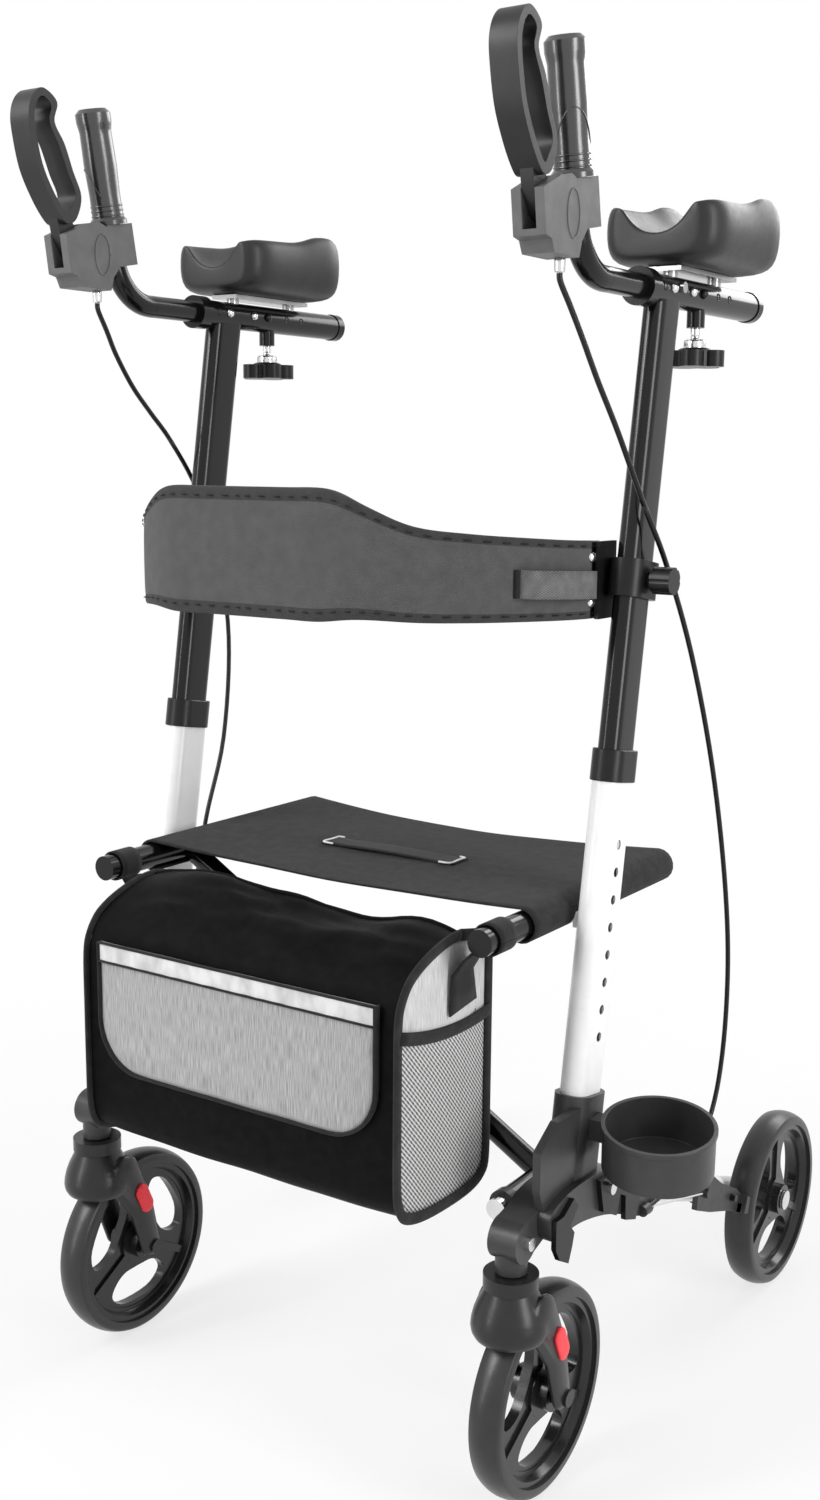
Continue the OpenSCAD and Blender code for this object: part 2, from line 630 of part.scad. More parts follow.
// Handles
module handle_path(d) {
  translate([upright_x, 0, handle_z]) {
    translate([0, corner_y + bend_t, 0]) rotate([-90, 0, 0])
      cylinder(d = d, h = handle_rear - corner_y - bend_t);
    translate([0, corner_y + bend_t, bend_r]) rotate([90, 0, 90]) intersection() {
      rotate_extrude() translate([bend_r, 0]) circle(d = d - 2 * bend_step);
      translate([0, 0, -d]) linear_extrude(2 * d) polygon([
        [0, 0], 3 * bend_r * [sin(bend_step * 6), -cos(bend_step * 6)], [-3 * bend_r, -3 * bend_r],
        3 * bend_r * [-sin(bend_angle + bend_step * 6), -cos(bend_angle + bend_step * 6)]
      ]);
    }
  }
  on_grip() translate([0, 0, bend_t]) cylinder(d = d, h = grip_to - 4 - bend_t);
}
module handle() {
  color("#1b1b1c") handle_path(handle_d);
}
module grip() {
  color("#2a2a2b") on_grip() rotate_extrude() polygon([
    [handle_d / 2 + fit, grip_from], [grip_d / 2 + 2, grip_from], [grip_d / 2 + 2, grip_from + 4],
    [grip_d / 2 - 0.5, grip_from + 7], [grip_d / 2 - 1, grip_from + 28], [grip_d / 2, grip_from + 55],
    [grip_d / 2 - 0.6, grip_from + 86], [grip_d / 2 + 1, grip_from + 95], [grip_d / 2 + 1, grip_to - 4],
    [grip_d / 2 - 3, grip_to], [0, grip_to], [0, grip_to - 3.5], [handle_d / 2 + fit, grip_to - 3.5]
  ]);
}
module at_corner(x0, x1) {
  translate([0, corner_y, handle_z]) along_x(x0, x1) children();
}
module housing() {
  color("#3b3c3e") {
    difference() {
      union() {
        // clamp block round the tube
        on_grip() translate([1.5 - cheek_w / 2, -17, 35]) cube([cheek_w - 3, 35, grip_from - 35 - gap]);
        at_corner(upright_x - cheek_w / 2, upright_x + cheek_w / 2)
          polygon([
            [-87, 56], [-60, 68.5], [-43, 72], [-31, 68], [-18, 58], [-14, 34], [-24, 22], [-28, 9], [-68, 9],
            [-73, 19], [-82, 21]
          ]);
        translate([upright_x, corner_y - 33, handle_z - 2]) cylinder(d = 8, h = 14);
      }
      handle_path(handle_d + 2 * fit);
      at_corner(upright_x - slot_w / 2, upright_x + slot_w / 2)
        polygon([[-100, 26], [-47, 26], [-47, 90], [-100, 90]]);
    }
    translate([0, corner_y, handle_z])
      rod_x(upright_x - cheek_w / 2 + 4, upright_x + cheek_w / 2 - 4, lever_y, lever_z, lever_pin);
  }
}
module lever() {
  color("#303133") difference() {
    union() {
      at_corner(upright_x - lever_w / 2, upright_x + lever_w / 2) difference() {
        polygon(ring([
          [-70, 72], [-63, 93], [-73, 115], [-83, 138], [-95, 156], [-91, 174], [-108, 184], [-121, 176],
          [-127, 160], [-125, 140], [-118, 113], [-106, 91], [-93, 74], [-82, 66]
        ], 5));
        polygon(ring([
          [-78, 79], [-70.5, 94], [-80, 113], [-90, 135], [-101.5, 155], [-98.5, 170], [-108.5, 176.5],
          [-116, 171], [-120, 158], [-118, 141], [-111.5, 116], [-100, 95], [-88, 80], [-82, 75]
        ], 5));
      }
      at_corner(upright_x - slot_w / 2 + 0.4, upright_x + slot_w / 2 - 0.4) {
        polygon([[-90, 73], [-72, 73], [-54, 46], [-64, 33], [-74, 38], [-86, 56]]);
        translate([lever_y, lever_z]) circle(r = lever_pin / 2 + 6);
      }
    }
    translate([0, corner_y, handle_z])
      rod_x(upright_x - lever_w, upright_x + lever_w, lever_y, lever_z, lever_pin + 2 * run);
  }
}
module reach_knob() {
  color("#1a1a1b") translate([upright_x, knob_y, 0]) {
    translate([0, 0, knob_z]) cylinder(d = stud_d, h = handle_z - handle_d / 2 - gap - knob_z);
    translate([0, 0, knob_z + 14]) cylinder(d = 19, h = 11, $fn = 6);
    translate([0, 0, knob_z]) linear_extrude(15) {
      circle(d = 42);
      for (a = [0:72:288]) rotate(a) translate([18.5, 0]) circle(d = 22);
    }
  }
}
module brake() {
  color("#4a4b4d") difference() {
    union() {
      beside_rear_tube(brake_x - 3, brake_x + 3) polygon([
        [wheel_r + 136, 24], [wheel_r + 128, -14], [wheel_r + 90, -16], [wheel_r + 40, -15],
        [shoe_low, -16], [wheel_r + shoe_gap, 2], [wheel_r + 22, 9], [wheel_r + 70, 15],
        [wheel_r + 106, 25]
      ]);
      beside_rear_tube(rear_x - 13, rear_x + 14) polygon([
        [shoe_low, -16], [wheel_r + shoe_gap, 2], [wheel_r + shoe_gap + 9, 4], [wheel_r + shoe_gap + 10, -16]
      ]);
      on_rear_tube() translate([brake_x, 5, wheel_r + 114]) rotate([0, 90, 0])
        cylinder(d = 12, h = 8, $fn = 6);
    }
    on_rear_tube() translate([0, 0, brake_at]) rotate([0, 90, 0]) cylinder(d = 8 + 2 * run, h = 600);
  }
}
module cable(route) {
  wire_at = wheel_r + 121;
  wire_end = [brake_x + 5 - upright_x, wheelbase - wire_at * cos(rear_slope) + 5 * sin(rear_slope),
    wire_at * sin(rear_slope) + 5 * cos(rear_slope) - wheel_r];
  color("#141414") translate([upright_x, 0, 0]) {
    cord(route, cable_d);
    cord([cable_stop + [0, 1, 0], mixed(cable_stop, wire_end, 0.5), wire_end], 2.4);
  }
}

// Scissor, seat, bag
module brace(y) {
  color("#131314") {
    difference() {
      union() {
        rod_y(ear_front + ear_t + 0.5, ear_rear - 0.5, -fold_half, fold_rise, 25);
        translate([-fold_half, y, fold_rise]) rotate([0, 90 - brace_angle, 0])
          cylinder(d = brace_d, h = brace_len);
        rod_y(seat_tube_front, seat_tube_rear, fold_half, seat_rise, seat_tube_d);
      }
      rod_y(ear_front - 1, ear_rear + ear_t + 1, -fold_half, fold_rise, pin_d + 2 * run);
      rod_y(y - 40, y + 40, 0, fold_mid_z, bolt_d + 2 * (y == brace_a_y ? fit : run));
    }
  }
}
module cross_bolt() {
  color("#c9ccd0") base() {
    rod_y(brace_a_y - brace_d / 2 - 5, brace_b_y + brace_d / 2 + 6, 0, fold_mid_z, bolt_d);
    rod_y(brace_a_y - brace_d / 2 - 6, brace_a_y - brace_d / 2, 0, fold_mid_z, bolt_d + 8);
    rod_y(brace_b_y + brace_d / 2 + gap, brace_b_y + brace_d / 2 + 6, 0, fold_mid_z, bolt_d + 8);
  }
}
module seat() {
  color("#1d1d1e") base() {
    top = seat_rise + seat_tube_d / 2;
    difference() {
      union() {
        translate([-fold_half, seat_front, top + gap]) cube([2 * fold_half, seat_l, hem_t]);
        for (s = [-1, 1], y = [[seat_front, 20], [98, seat_front + seat_l]])
          rod_y(y[0], y[1], s * fold_half, seat_rise, seat_tube_d + 2 * gap + 2 * hem_t);
      }
      rod_y(seat_front - 1, seat_front + seat_l + 1, fold_half, seat_rise, seat_tube_d + 2 * fit);
      rod_y(seat_front - 1, seat_front + seat_l + 1, -fold_half, seat_rise, seat_tube_d + 2 * gap);
    }
  }
}
module seat_strap() {
  color("#101011") base() translate([0, 125, seat_rise + seat_tube_d / 2 + gap + hem_t]) along_y(-14, 14)
    polygon([
      [-82, 0], [-82, 2.5], [-58, 2.5], [-40, 4.2], [0, 5.2], [40, 4.2], [58, 2.5], [82, 2.5], [82, 0],
      [58, 0], [40, 1.7], [0, 2.7], [-40, 1.7], [-58, 0]
    ]);
}
module bag_side(w) {
  polygon([
    [bag_back - w, bag_bottom + w], [bag_front + 16, bag_bottom + w],
    [bag_front + 4 + w, bag_bottom + 10 + w], [bag_front + w, bag_bottom + 26],
    [bag_front + w, bag_bottom + bag_h - 30],
    [bag_front + 10 + w, bag_bottom + bag_h - 12 - w], [bag_front + 34, bag_bottom + bag_h - 3 - w],
    [bag_back - w, bag_bottom + bag_h - w]
  ]);
}
module bag_plan(w) {
  r = 36;
  translate([-bag_w / 2 + w, bag_front + r]) square([bag_w - 2 * w, bag_l - r - w]);
  translate([-bag_w / 2 + r, bag_front + w]) square([bag_w - 2 * r, r]);
  for (s = [-1, 1]) translate([s * (bag_w / 2 - r), bag_front + r]) circle(r = r - w);
}
module bag_form(w) {
  intersection() {
    along_x(-bag_w / 2, bag_w / 2) bag_side(w);
    linear_extrude(800) bag_plan(w);
  }
}
module bag() {
  color("#3c3d40") base() {
    difference() {
      bag_form(0);
      bag_form(bag_wall);
      // mouth in the top and pocket mouth behind the flap
      translate([-bag_w / 2 + 30, mouth_front, bag_bottom + bag_h - 30])
        cube([bag_w - 60, bag_back - 10 - mouth_front, 60]);
      translate([-110, bag_front - 5, flap_top - 62]) cube([220, 20, 34]);
    }
    // webbing loops on the seat tube ends
    for (s = [-1, 1]) along_y(-56, -30) {
      difference() {
        translate([s * fold_half, seat_rise]) circle(d = seat_tube_d + 2 * gap + 5);
        translate([s * fold_half, seat_rise]) circle(d = seat_tube_d + 2 * gap);
      }
      polygon([
        [s * (bag_w / 2 - 0.5), seat_rise - 66], [s * (bag_w / 2 + 2), seat_rise - 66],
        [s * (bag_w / 2 + 2), seat_rise - 34], [s * (fold_half - seat_tube_d / 2 + 2), seat_rise - 9],
        [s * (fold_half - seat_tube_d / 2 - 1.5), seat_rise - 6], [s * (bag_w / 2 - 0.5), seat_rise - 33]
      ]);
    }
  }
}
module bag_flap() {
  low = flap_top - flap_h;
  color("#6a6c70") base() along_y(bag_front - gap - flap_t, bag_front - gap) {
    translate([-flap_w / 2, low + flap_r]) square([flap_w, flap_h - flap_r]);
    translate([-flap_w / 2 + flap_r, low]) square([flap_w - 2 * flap_r, flap_r]);
    for (s = [-1, 1]) translate([s * (flap_w / 2 - flap_r), low + flap_r]) circle(r = flap_r);
  }
}

// Drawn pieces
right() casting();  // right_casting
right() clips();  // right_clips
right() bolts();  // right_bolts
right() upright();  // right_upright
right() collar();  // right_collar
right() rear_tube();  // right_rear_tube
left() casting();  // left_casting
left() clips();  // left_clips
left() bolts();  // left_bolts
left() upright();  // left_upright
left() collar();  // left_collar
left() rear_tube();  // left_rear_tube
left() cup();  // cup_holder
right() fork();  // right_fork
right() reflector();  // right_reflector
right() rim(front_x, tyre_w / 2 + 3, tyre_w / 2 + 3);  // right_front_rim
right() tyre(front_x);  // right_front_tyre
right() rear_rim();  // right_rear_rim
right() translate([0, wheelbase, 0]) tyre(rear_x);  // right_rear_tyre
left() fork();  // left_fork
left() reflector();  // left_reflector
left() rim(front_x, tyre_w / 2 + 3, tyre_w / 2 + 3);  // left_front_rim
left() tyre(front_x);  // left_front_tyre
left() rear_rim();  // left_rear_rim
left() translate([0, wheelbase, 0]) tyre(rear_x);  // left_rear_tyre
right() mast();  // right_mast
right() fittings();  // right_fittings
right() pad();  // right_pad
right() clamp();  // right_clamp
right() clamp_knob();  // right_clamp_knob
right() button();  // right_button
left() mast();  // left_mast
left() fittings();  // left_fittings
left() pad();  // left_pad
left() clamp();  // left_clamp
left() clamp_knob();  // left_clamp_knob
left() button();  // left_button
right() handle();  // right_handle
right() grip();  // right_grip
right() housing();  // right_housing
right() lever();  // right_lever
right() reach_knob();  // right_reach_knob
left() handle();  // left_handle
left() grip();  // left_grip
left() housing();  // left_housing
left() lever();  // left_lever
left() reach_knob();  // left_reach_knob
right() brake();  // right_brake
left() brake();  // left_brake
right() cable(right_route);  // right_cable
left() cable(left_route);  // left_cable
base() brace(brace_a_y);  // brace_a
right() brace(brace_b_y);  // brace_b
cross_bolt();
seat();
seat_strap();
bag();
bag_flap();
back_strap();
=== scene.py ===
import math

import bmesh
import bpy
from mathutils import Matrix, Vector, noise


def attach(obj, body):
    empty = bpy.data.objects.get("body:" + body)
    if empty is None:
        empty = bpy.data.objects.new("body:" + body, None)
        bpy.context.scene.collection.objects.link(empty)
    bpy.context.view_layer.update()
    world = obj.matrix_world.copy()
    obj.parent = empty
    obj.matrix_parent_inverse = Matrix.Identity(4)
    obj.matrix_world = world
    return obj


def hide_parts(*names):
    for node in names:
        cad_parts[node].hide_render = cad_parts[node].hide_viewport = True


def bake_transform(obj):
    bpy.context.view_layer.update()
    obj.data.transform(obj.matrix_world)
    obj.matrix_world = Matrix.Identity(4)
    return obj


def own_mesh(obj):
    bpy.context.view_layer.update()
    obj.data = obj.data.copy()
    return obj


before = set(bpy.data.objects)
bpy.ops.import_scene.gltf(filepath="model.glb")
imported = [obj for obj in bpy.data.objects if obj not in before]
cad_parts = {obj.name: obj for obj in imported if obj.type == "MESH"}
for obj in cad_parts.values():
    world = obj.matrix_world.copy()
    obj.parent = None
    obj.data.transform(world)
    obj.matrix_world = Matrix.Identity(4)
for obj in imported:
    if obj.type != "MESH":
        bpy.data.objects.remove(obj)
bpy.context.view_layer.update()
scene = bpy.context.scene
scene.view_settings.view_transform = "Standard"
SIDES = (("right", -1), ("left", 1))
AXLE_Y, WHEEL_TOP = 252, 200


def at(x, y, z):
    """Metres in the frame, from the CAD source's millimetres behind the front axle and above the wheels."""
    return Vector((x / 1000, (y - AXLE_Y) / 1000, (z + WHEEL_TOP) / 1000))


def lerp(a, b, t):
    return a + (b - a) * t


# Materials


class Nodes:
    """Short names for building a node tree."""

    def __init__(self, name):
        self.mat = bpy.data.materials.new(name)
        self.mat.use_nodes = True
        self.tree = self.mat.node_tree
        self.shader = self.tree.nodes["Principled BSDF"]
        self.coords = self.tree.nodes.new("ShaderNodeTexCoord")

    def link(self, a, b):
        self.tree.links.new(a, b)

    def add(self, kind, **values):
        node = self.tree.nodes.new(kind)
        for key, value in values.items():
            setattr(node, key, value)
        return node

    def math(self, op, a, b=None):
        node = self.add("ShaderNodeMath", operation=op)
        for socket, value in zip(node.inputs, (a, b)):
            if value is None:
                continue
            if isinstance(value, (int, float)):
                socket.default_value = value
            else:
                self.link(value, socket)
        return node.outputs[0]

    def split(self, kind="Object"):
        node = self.add("ShaderNodeSeparateXYZ")
        self.link(self.coords.outputs[kind], node.inputs[0])
        return node.outputs

    def stretched(self, scale):
        node = self.add("ShaderNodeMapping")
        node.inputs["Scale"].default_value = scale
        self.link(self.coords.outputs["Object"], node.inputs["Vector"])
        return node.outputs[0]

    def noise(self, scale, detail=3, vector=None):
        node = self.add("ShaderNodeTexNoise")
        node.inputs["Scale"].default_value = scale
        node.inputs["Detail"].default_value = detail
        self.link(vector if vector is not None else self.coords.outputs["Object"], node.inputs["Vector"])
        return node.outputs["Fac"]

    def waves(self, kind, step, axes):
        """Product of two crossed sine waves, a woven ground."""
        split = self.split(kind)
        out = []
        for axis in axes:
            turned = self.math("MULTIPLY", split[axis], 2 * math.pi / step)
            out.append(self.math("SINE", turned))
        return self.math("MULTIPLY", out[0], out[1])

    def ramp(self, value, stops):
        node = self.add("ShaderNodeValToRGB")
        while len(node.color_ramp.elements) < len(stops):
            node.color_ramp.elements.new(0.5)
        for element, (pos, colour) in zip(node.color_ramp.elements, stops):
            element.position = pos
            element.color = (*colour, 1)
        self.link(value, node.inputs[0])
        return node.outputs[0]

    def bump(self, height, strength, distance):
        node = self.add("ShaderNodeBump")
        node.inputs["Strength"].default_value = strength
        node.inputs["Distance"].default_value = distance
        self.link(height, node.inputs["Height"])
        self.link(node.outputs[0], self.shader.inputs["Normal"])

    def roughness(self, value, low, high):
        node = self.add("ShaderNodeMapRange")
        node.inputs["To Min"].default_value = low
        node.inputs["To Max"].default_value = high
        self.link(value, node.inputs["Value"])
        self.link(node.outputs[0], self.shader.inputs["Roughness"])

    def colour(self, socket):
        self.link(socket, self.shader.inputs["Base Color"])

    def set(self, **values):
        for key, value in values.items():
            self.shader.inputs[key.replace("_", " ")].default_value = value


def grey(v):
    return (v, v, v)


def hard(name, shade, rough, grain, depth, metal=0.0, coat=0.0, spread=0.12, spec=0.5):
    """Painted, plated or moulded surface: mottled shade, uneven gloss and a fine grain."""
    n = Nodes(name)
    n.colour(n.ramp(n.noise(60, 4), [(0.3, grey(shade * (1 - spread))), (0.7, grey(shade * (1 + spread)))]))
    n.roughness(n.noise(140, 4), rough * 0.8, min(1.0, rough * 1.2))
    n.bump(n.noise(grain, 2), 0.35, depth)
    n.set(Metallic=metal, Coat_Weight=coat, Coat_Roughness=0.12, Specular_IOR_Level=spec)
    return n.mat


def woven(name, low, high, step, kind, axes, rough=0.85, sheen=0.25, depth=0.0004, spec=0.3, cloud=1.0):
    """Cloth with crossed threads and a mottled shade."""
    n = Nodes(name)
    weave = n.waves(kind, step, axes)
    mottle = n.math("ADD", n.math("MULTIPLY", n.noise(90, 5), cloud), 0.5 * (1 - cloud))
    shade = n.math("ADD", n.math("MULTIPLY", weave, 0.22), mottle)
    n.colour(n.ramp(shade, [(0.3, grey(low)), (0.75, grey(high))]))
    n.roughness(n.noise(200, 3), rough * 0.9, min(1.0, rough * 1.08))
    n.bump(weave, 0.6, depth)
    n.set(Sheen_Weight=sheen, Sheen_Roughness=0.5, Specular_IOR_Level=spec)
    return n.mat


def melange(name, axes, low, high):
    """Flecked grey cloth: fine streaks along its warp and a finer grain."""
    n = Nodes(name)
    split = n.split()
    fields = []
    for stretch in ((2000, 55), (2600, 2200)):
        vector = n.add("ShaderNodeCombineXYZ")
        for socket, axis, scale in zip(("X", "Y"), axes, stretch):
            n.link(n.math("MULTIPLY", split[axis], scale), vector.inputs[socket])
        fields.append(n.noise(1.0, 2, vector.outputs[0]))
    shade = n.math("ADD", n.math("MULTIPLY", fields[0], 0.72), n.math("MULTIPLY", fields[1], 0.28))
    n.colour(n.ramp(shade, [(0.36, grey(low)), (0.62, grey(high))]))
    n.bump(shade, 0.3, 0.0003)
    n.set(Roughness=0.9, Sheen_Weight=0.2)
    return n.mat


def netting(name):
    """Diagonal net over a pale lining, seen on the bag's side pockets."""
    n = Nodes(name)
    split = n.split()
    y, z = split["Y"], split["Z"]
    step = 2 * math.pi / 0.0042
    fall = n.math("SINE", n.math("MULTIPLY", n.math("ADD", y, n.math("MULTIPLY", z, 0.9)), step))
    rise = n.math("SINE", n.math("MULTIPLY", n.math("SUBTRACT", n.math("MULTIPLY", y, 0.9), z), step * 0.5))
    net = n.math("ADD", fall, n.math("MULTIPLY", rise, 0.45))
    shade = n.math("ADD", n.math("MULTIPLY", net, 0.35), 0.5)
    n.colour(n.ramp(shade, [(0.3, grey(0.1)), (0.62, grey(0.62))]))
    n.bump(net, 0.6, 0.0006)
    n.set(Roughness=0.8)
    return n.mat


def reflector_lens(name):
    """Red lens of small cells."""
    n = Nodes(name)
    cells = n.add("ShaderNodeTexVoronoi")
    cells.inputs["Scale"].default_value = 520
    n.link(n.coords.outputs["Object"], cells.inputs["Vector"])
    n.colour(n.ramp(cells.outputs["Distance"], [(0.1, (0.95, 0.06, 0.08)), (0.9, (0.78, 0.025, 0.04))]))
    n.bump(cells.outputs["Distance"], 0.4, 0.0004)
    n.set(Roughness=0.3, Specular_IOR_Level=0.25)
    return n.mat


def puckered_tape(name):
    """Pale reflecting strip, a little puckered along its length, with painted shade in the puckers' hollows.
    """
    n = Nodes(name)
    puckers = n.noise(1.0, 3, n.stretched((55, 8, 30)))
    # Colour follows the puckers' height: painted shade in their hollows, painted light on their crests.
    n.colour(n.ramp(puckers, [(0.35, grey(0.5)), (0.62, grey(0.72))]))
    n.bump(puckers, 0.25, 0.001)
    n.set(Roughness=0.45, Specular_IOR_Level=0.4)
    return n.mat


HARD = {
    "black_metal": dict(shade=0.004, rough=0.17, grain=900, depth=0.00006, spec=0.32),
    "white_metal": dict(shade=0.84, rough=0.3, grain=700, depth=0.0001, coat=0.25, spread=0.02),
    "dark_plastic": dict(shade=0.038, rough=0.36, grain=1100, depth=0.0002, spec=0.34),
    "fork_plastic": dict(shade=0.014, rough=0.3, grain=1100, depth=0.0002, spec=0.38),
    "housing_plastic": dict(shade=0.115, rough=0.5, grain=1100, depth=0.0002, spec=0.3),
    "lever_plastic": dict(shade=0.018, rough=0.4, grain=1100, depth=0.0002, spec=0.3),
    "clip_plastic": dict(shade=0.006, rough=0.34, grain=1100, depth=0.0002, spec=0.28),
    "bright_metal": dict(shade=0.72, rough=0.2, grain=1500, depth=0.00005, metal=1.0, spread=0.05),
    # Chrome of the fittings under the pads, darker than bright_metal: painted shade of the pads above them.
    "shaded_plate_metal": dict(shade=0.4, rough=0.24, grain=1500, depth=0.00005, metal=1.0, spread=0.08),
    "rim_plastic": dict(shade=0.012, rough=0.2, grain=900, depth=0.0001, spec=0.42),
    "tread": dict(shade=0.023, rough=0.32, grain=700, depth=0.0002, spec=0.4),
    "pad_foam": dict(shade=0.02, rough=0.4, grain=500, depth=0.0003, spec=0.3),
    "grip_rubber": dict(shade=0.016, rough=0.23, grain=900, depth=0.0001, spec=1.0),
    "brake_plastic": dict(shade=0.035, rough=0.45, grain=900, depth=0.0002, spec=0.3),
    "cable_sheath": dict(shade=0.006, rough=0.35, grain=900, depth=0.0001, spec=0.3),
    "thread": dict(shade=0.012, rough=0.7, grain=900, depth=0.0002, spec=0.2),
    "pale_thread": dict(shade=0.8, rough=0.6, grain=900, depth=0.0002, spread=0.05),
}
ON_XY, ON_XZ = dict(kind="Object", axes=("X", "Y")), dict(kind="Object", axes=("X", "Z"))
ON_UV = dict(kind="UV", axes=("X", "Y"))
WOVEN = {
    "seat_fabric": dict(ON_XY, low=0.014, high=0.036, step=0.0016, sheen=0.05, spec=0.15, cloud=0.7),
    "nylon": dict(ON_XZ, low=0.002, high=0.006, step=0.0009, rough=0.42, sheen=0.0, depth=0.0001, spec=0.04),
    "binding": dict(ON_UV, low=0.012, high=0.03, step=0.0014, sheen=0.08, spec=0.2),
    "webbing": dict(ON_UV, low=0.008, high=0.026, step=0.0022, sheen=0.08, spec=0.2, cloud=0.5),
    "keeper_web": dict(ON_UV, low=0.09, high=0.2, step=0.0022, sheen=0.1, spec=0.2, cloud=0.6),
    "belt_cloth": dict(ON_UV, low=0.056, high=0.125, step=0.0016, sheen=0.12, spec=0.2, cloud=0.3),
    "belt_edge": dict(ON_UV, low=0.03, high=0.062, step=0.0014, sheen=0.1, spec=0.2, cloud=0.3),
}
M = {name: hard(name, **look) for name, look in HARD.items()}
M.update({name: woven(name, **look) for name, look in WOVEN.items()})
M["flap_cloth"] = melange("flap_cloth", ("X", "Z"), 0.19, 0.47)
M["side_cloth"] = melange("side_cloth", ("Y", "Z"), 0.36, 0.72)
M["side_net"] = netting("side_net")
M["reflector_red"] = reflector_lens("reflector_lens")
M["strip_tape"] = puckered_tape("strip_tape")

# Looks of the CAD nodes, by their names without the side, and widths of their rounded edges in millimetres
LOOKS = {
    "casting": "dark_plastic", "clips": "clip_plastic", "bolts": "bright_metal", "upright": "white_metal",
    "collar": "clip_plastic", "rear_tube": "white_metal", "fork": "fork_plastic",
    "reflector": "reflector_red",
    "front_rim": "rim_plastic", "rear_rim": "rim_plastic", "front_tyre": "tread", "rear_tyre": "tread",
    "mast": "black_metal", "fittings": "shaded_plate_metal", "pad": "pad_foam", "clamp": "clip_plastic",
    "clamp_knob": "clip_plastic", "button": "bright_metal", "handle": "black_metal", "grip": "grip_rubber",
    "housing": "housing_plastic", "lever": "lever_plastic", "reach_knob": "clip_plastic",
    "brake": "brake_plastic",
    "cable": "cable_sheath", "cup_holder": "dark_plastic", "brace_a": "black_metal", "brace_b": "black_metal",
    "cross_bolt": "bright_metal", "seat": "seat_fabric", "seat_strap": "webbing", "bag": "nylon",
    "bag_flap": "flap_cloth", "back_strap": "belt_cloth",
}
ROUNDED = {
    "casting": 1.6, "clips": 0.8, "collar": 0.9, "clamp": 1.0, "housing": 1.8, "lever": 1.6, "brake": 0.9,
    "cup_holder": 0.6, "reach_knob": 2.6, "clamp_knob": 1.6, "upright": 0.5,
}
SHARP, BEVELLED = 32, 35


def shading(limit):
    """Modifier that welds a CAD mesh and shades it smooth except across sharp edges."""
    tree = bpy.data.node_groups.new("shading", "GeometryNodeTree")
    tree.interface.new_socket("Geometry", in_out="INPUT", socket_type="NodeSocketGeometry")
    tree.interface.new_socket("Geometry", in_out="OUTPUT", socket_type="NodeSocketGeometry")
    start, end = tree.nodes.new("NodeGroupInput"), tree.nodes.new("NodeGroupOutput")
    bare = tree.nodes.new("GeometryNodeRemoveAttribute")
    bare.inputs["Name"].default_value = "custom_normal"
    weld = tree.nodes.new("GeometryNodeMergeByDistance")
    weld.inputs["Distance"].default_value = 1e-5
    faces = tree.nodes.new("GeometryNodeSetShadeSmooth")
    edges = tree.nodes.new("GeometryNodeSetShadeSmooth")
    edges.domain = "EDGE"
    edges.inputs["Shade Smooth"].default_value = False
    angle = tree.nodes.new("GeometryNodeInputMeshEdgeAngle")
    sharp = tree.nodes.new("FunctionNodeCompare")
    sharp.operation = "GREATER_THAN"
    sharp.inputs[1].default_value = math.radians(limit)
    tree.links.new(angle.outputs["Unsigned Angle"], sharp.inputs[0])
    tree.links.new(sharp.outputs[0], edges.inputs["Selection"])
    for a, b in ((start, bare), (bare, weld), (weld, faces), (faces, edges), (edges, end)):
        tree.links.new(a.outputs[0], b.inputs[0])
    return tree


def dress_nodes():
    smooth_group = shading(SHARP)
    for node_name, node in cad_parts.items():
        short = node_name.split("_", 1)[1] if node_name.startswith(("right_", "left_")) else node_name
        node.data.materials.clear()
        node.data.materials.append(M[LOOKS[short]])
        node.modifiers.new("shading", "NODES").node_group = smooth_group
        if short in ROUNDED:
            edge = node.modifiers.new("edge", "BEVEL")
            edge.width = ROUNDED[short] / 1000
            edge.segments = 2
            edge.limit_method = "ANGLE"
            edge.angle_limit = math.radians(BEVELLED)
            edge.harden_normals = False


# Building pieces


def piece(name, verts, faces, mats, face_mats=None, uv=None):
    """Mesh object, smooth and facing outwards; uv gives one pair per vertex."""
    data = bpy.data.meshes.new(name)
    data.from_pydata([tuple(v) for v in verts], [], faces)
    for m in mats if isinstance(mats, (list, tuple)) else [mats]:
        data.materials.append(M[m])
    if face_mats:
        for poly, index in zip(data.polygons, face_mats):
            poly.material_index = index
    for poly in data.polygons:
        poly.use_smooth = True
    if uv:
        layer = data.uv_layers.new(name="UVMap")
        for loop in data.loops:
            layer.data[loop.index].uv = uv[loop.vertex_index]
    data.update()
    obj = bpy.data.objects.new(name, data)
    scene.collection.objects.link(obj)
    bm = bmesh.new()
    bm.from_mesh(data)
    bmesh.ops.recalc_face_normals(bm, faces=bm.faces)
    bm.to_mesh(data)
    bm.free()
    return obj


def sheet_faces(rows, cols, closed=False):
    faces = []
    for i in range(rows - 1):
        for j in range(cols if closed else cols - 1):
            k = (j + 1) % cols
            faces.append((i * cols + j, i * cols + k, (i + 1) * cols + k, (i + 1) * cols + j))
    return faces


def loft(name, rings, mats, caps=None, uv=None, strips=None):
    """Closed skin through rings of points; caps lists the faces that close an end, else one face does."""
    rows, cols = len(rings), len(rings[0])
    verts = [p for ring in rings for p in ring]
    faces = sheet_faces(rows, cols, True)
    for first in (0, (rows - 1) * cols):
        for cap in caps or [range(cols)]:
            faces.append(tuple(first + j for j in cap))
    face_mats = [strips[i % cols] for i in range((rows - 1) * cols)] + [0] * 2 if strips else None
    return piece(name, verts, faces, mats, face_mats, uv)


def thicken(obj, t, offset=-1):
    mod = obj.modifiers.new("thickness", "SOLIDIFY")
    mod.thickness = t
    mod.offset = offset
    return obj


def rounded(obj):
    mod = obj.modifiers.new("round", "SUBSURF")
    mod.levels = mod.render_levels = 1


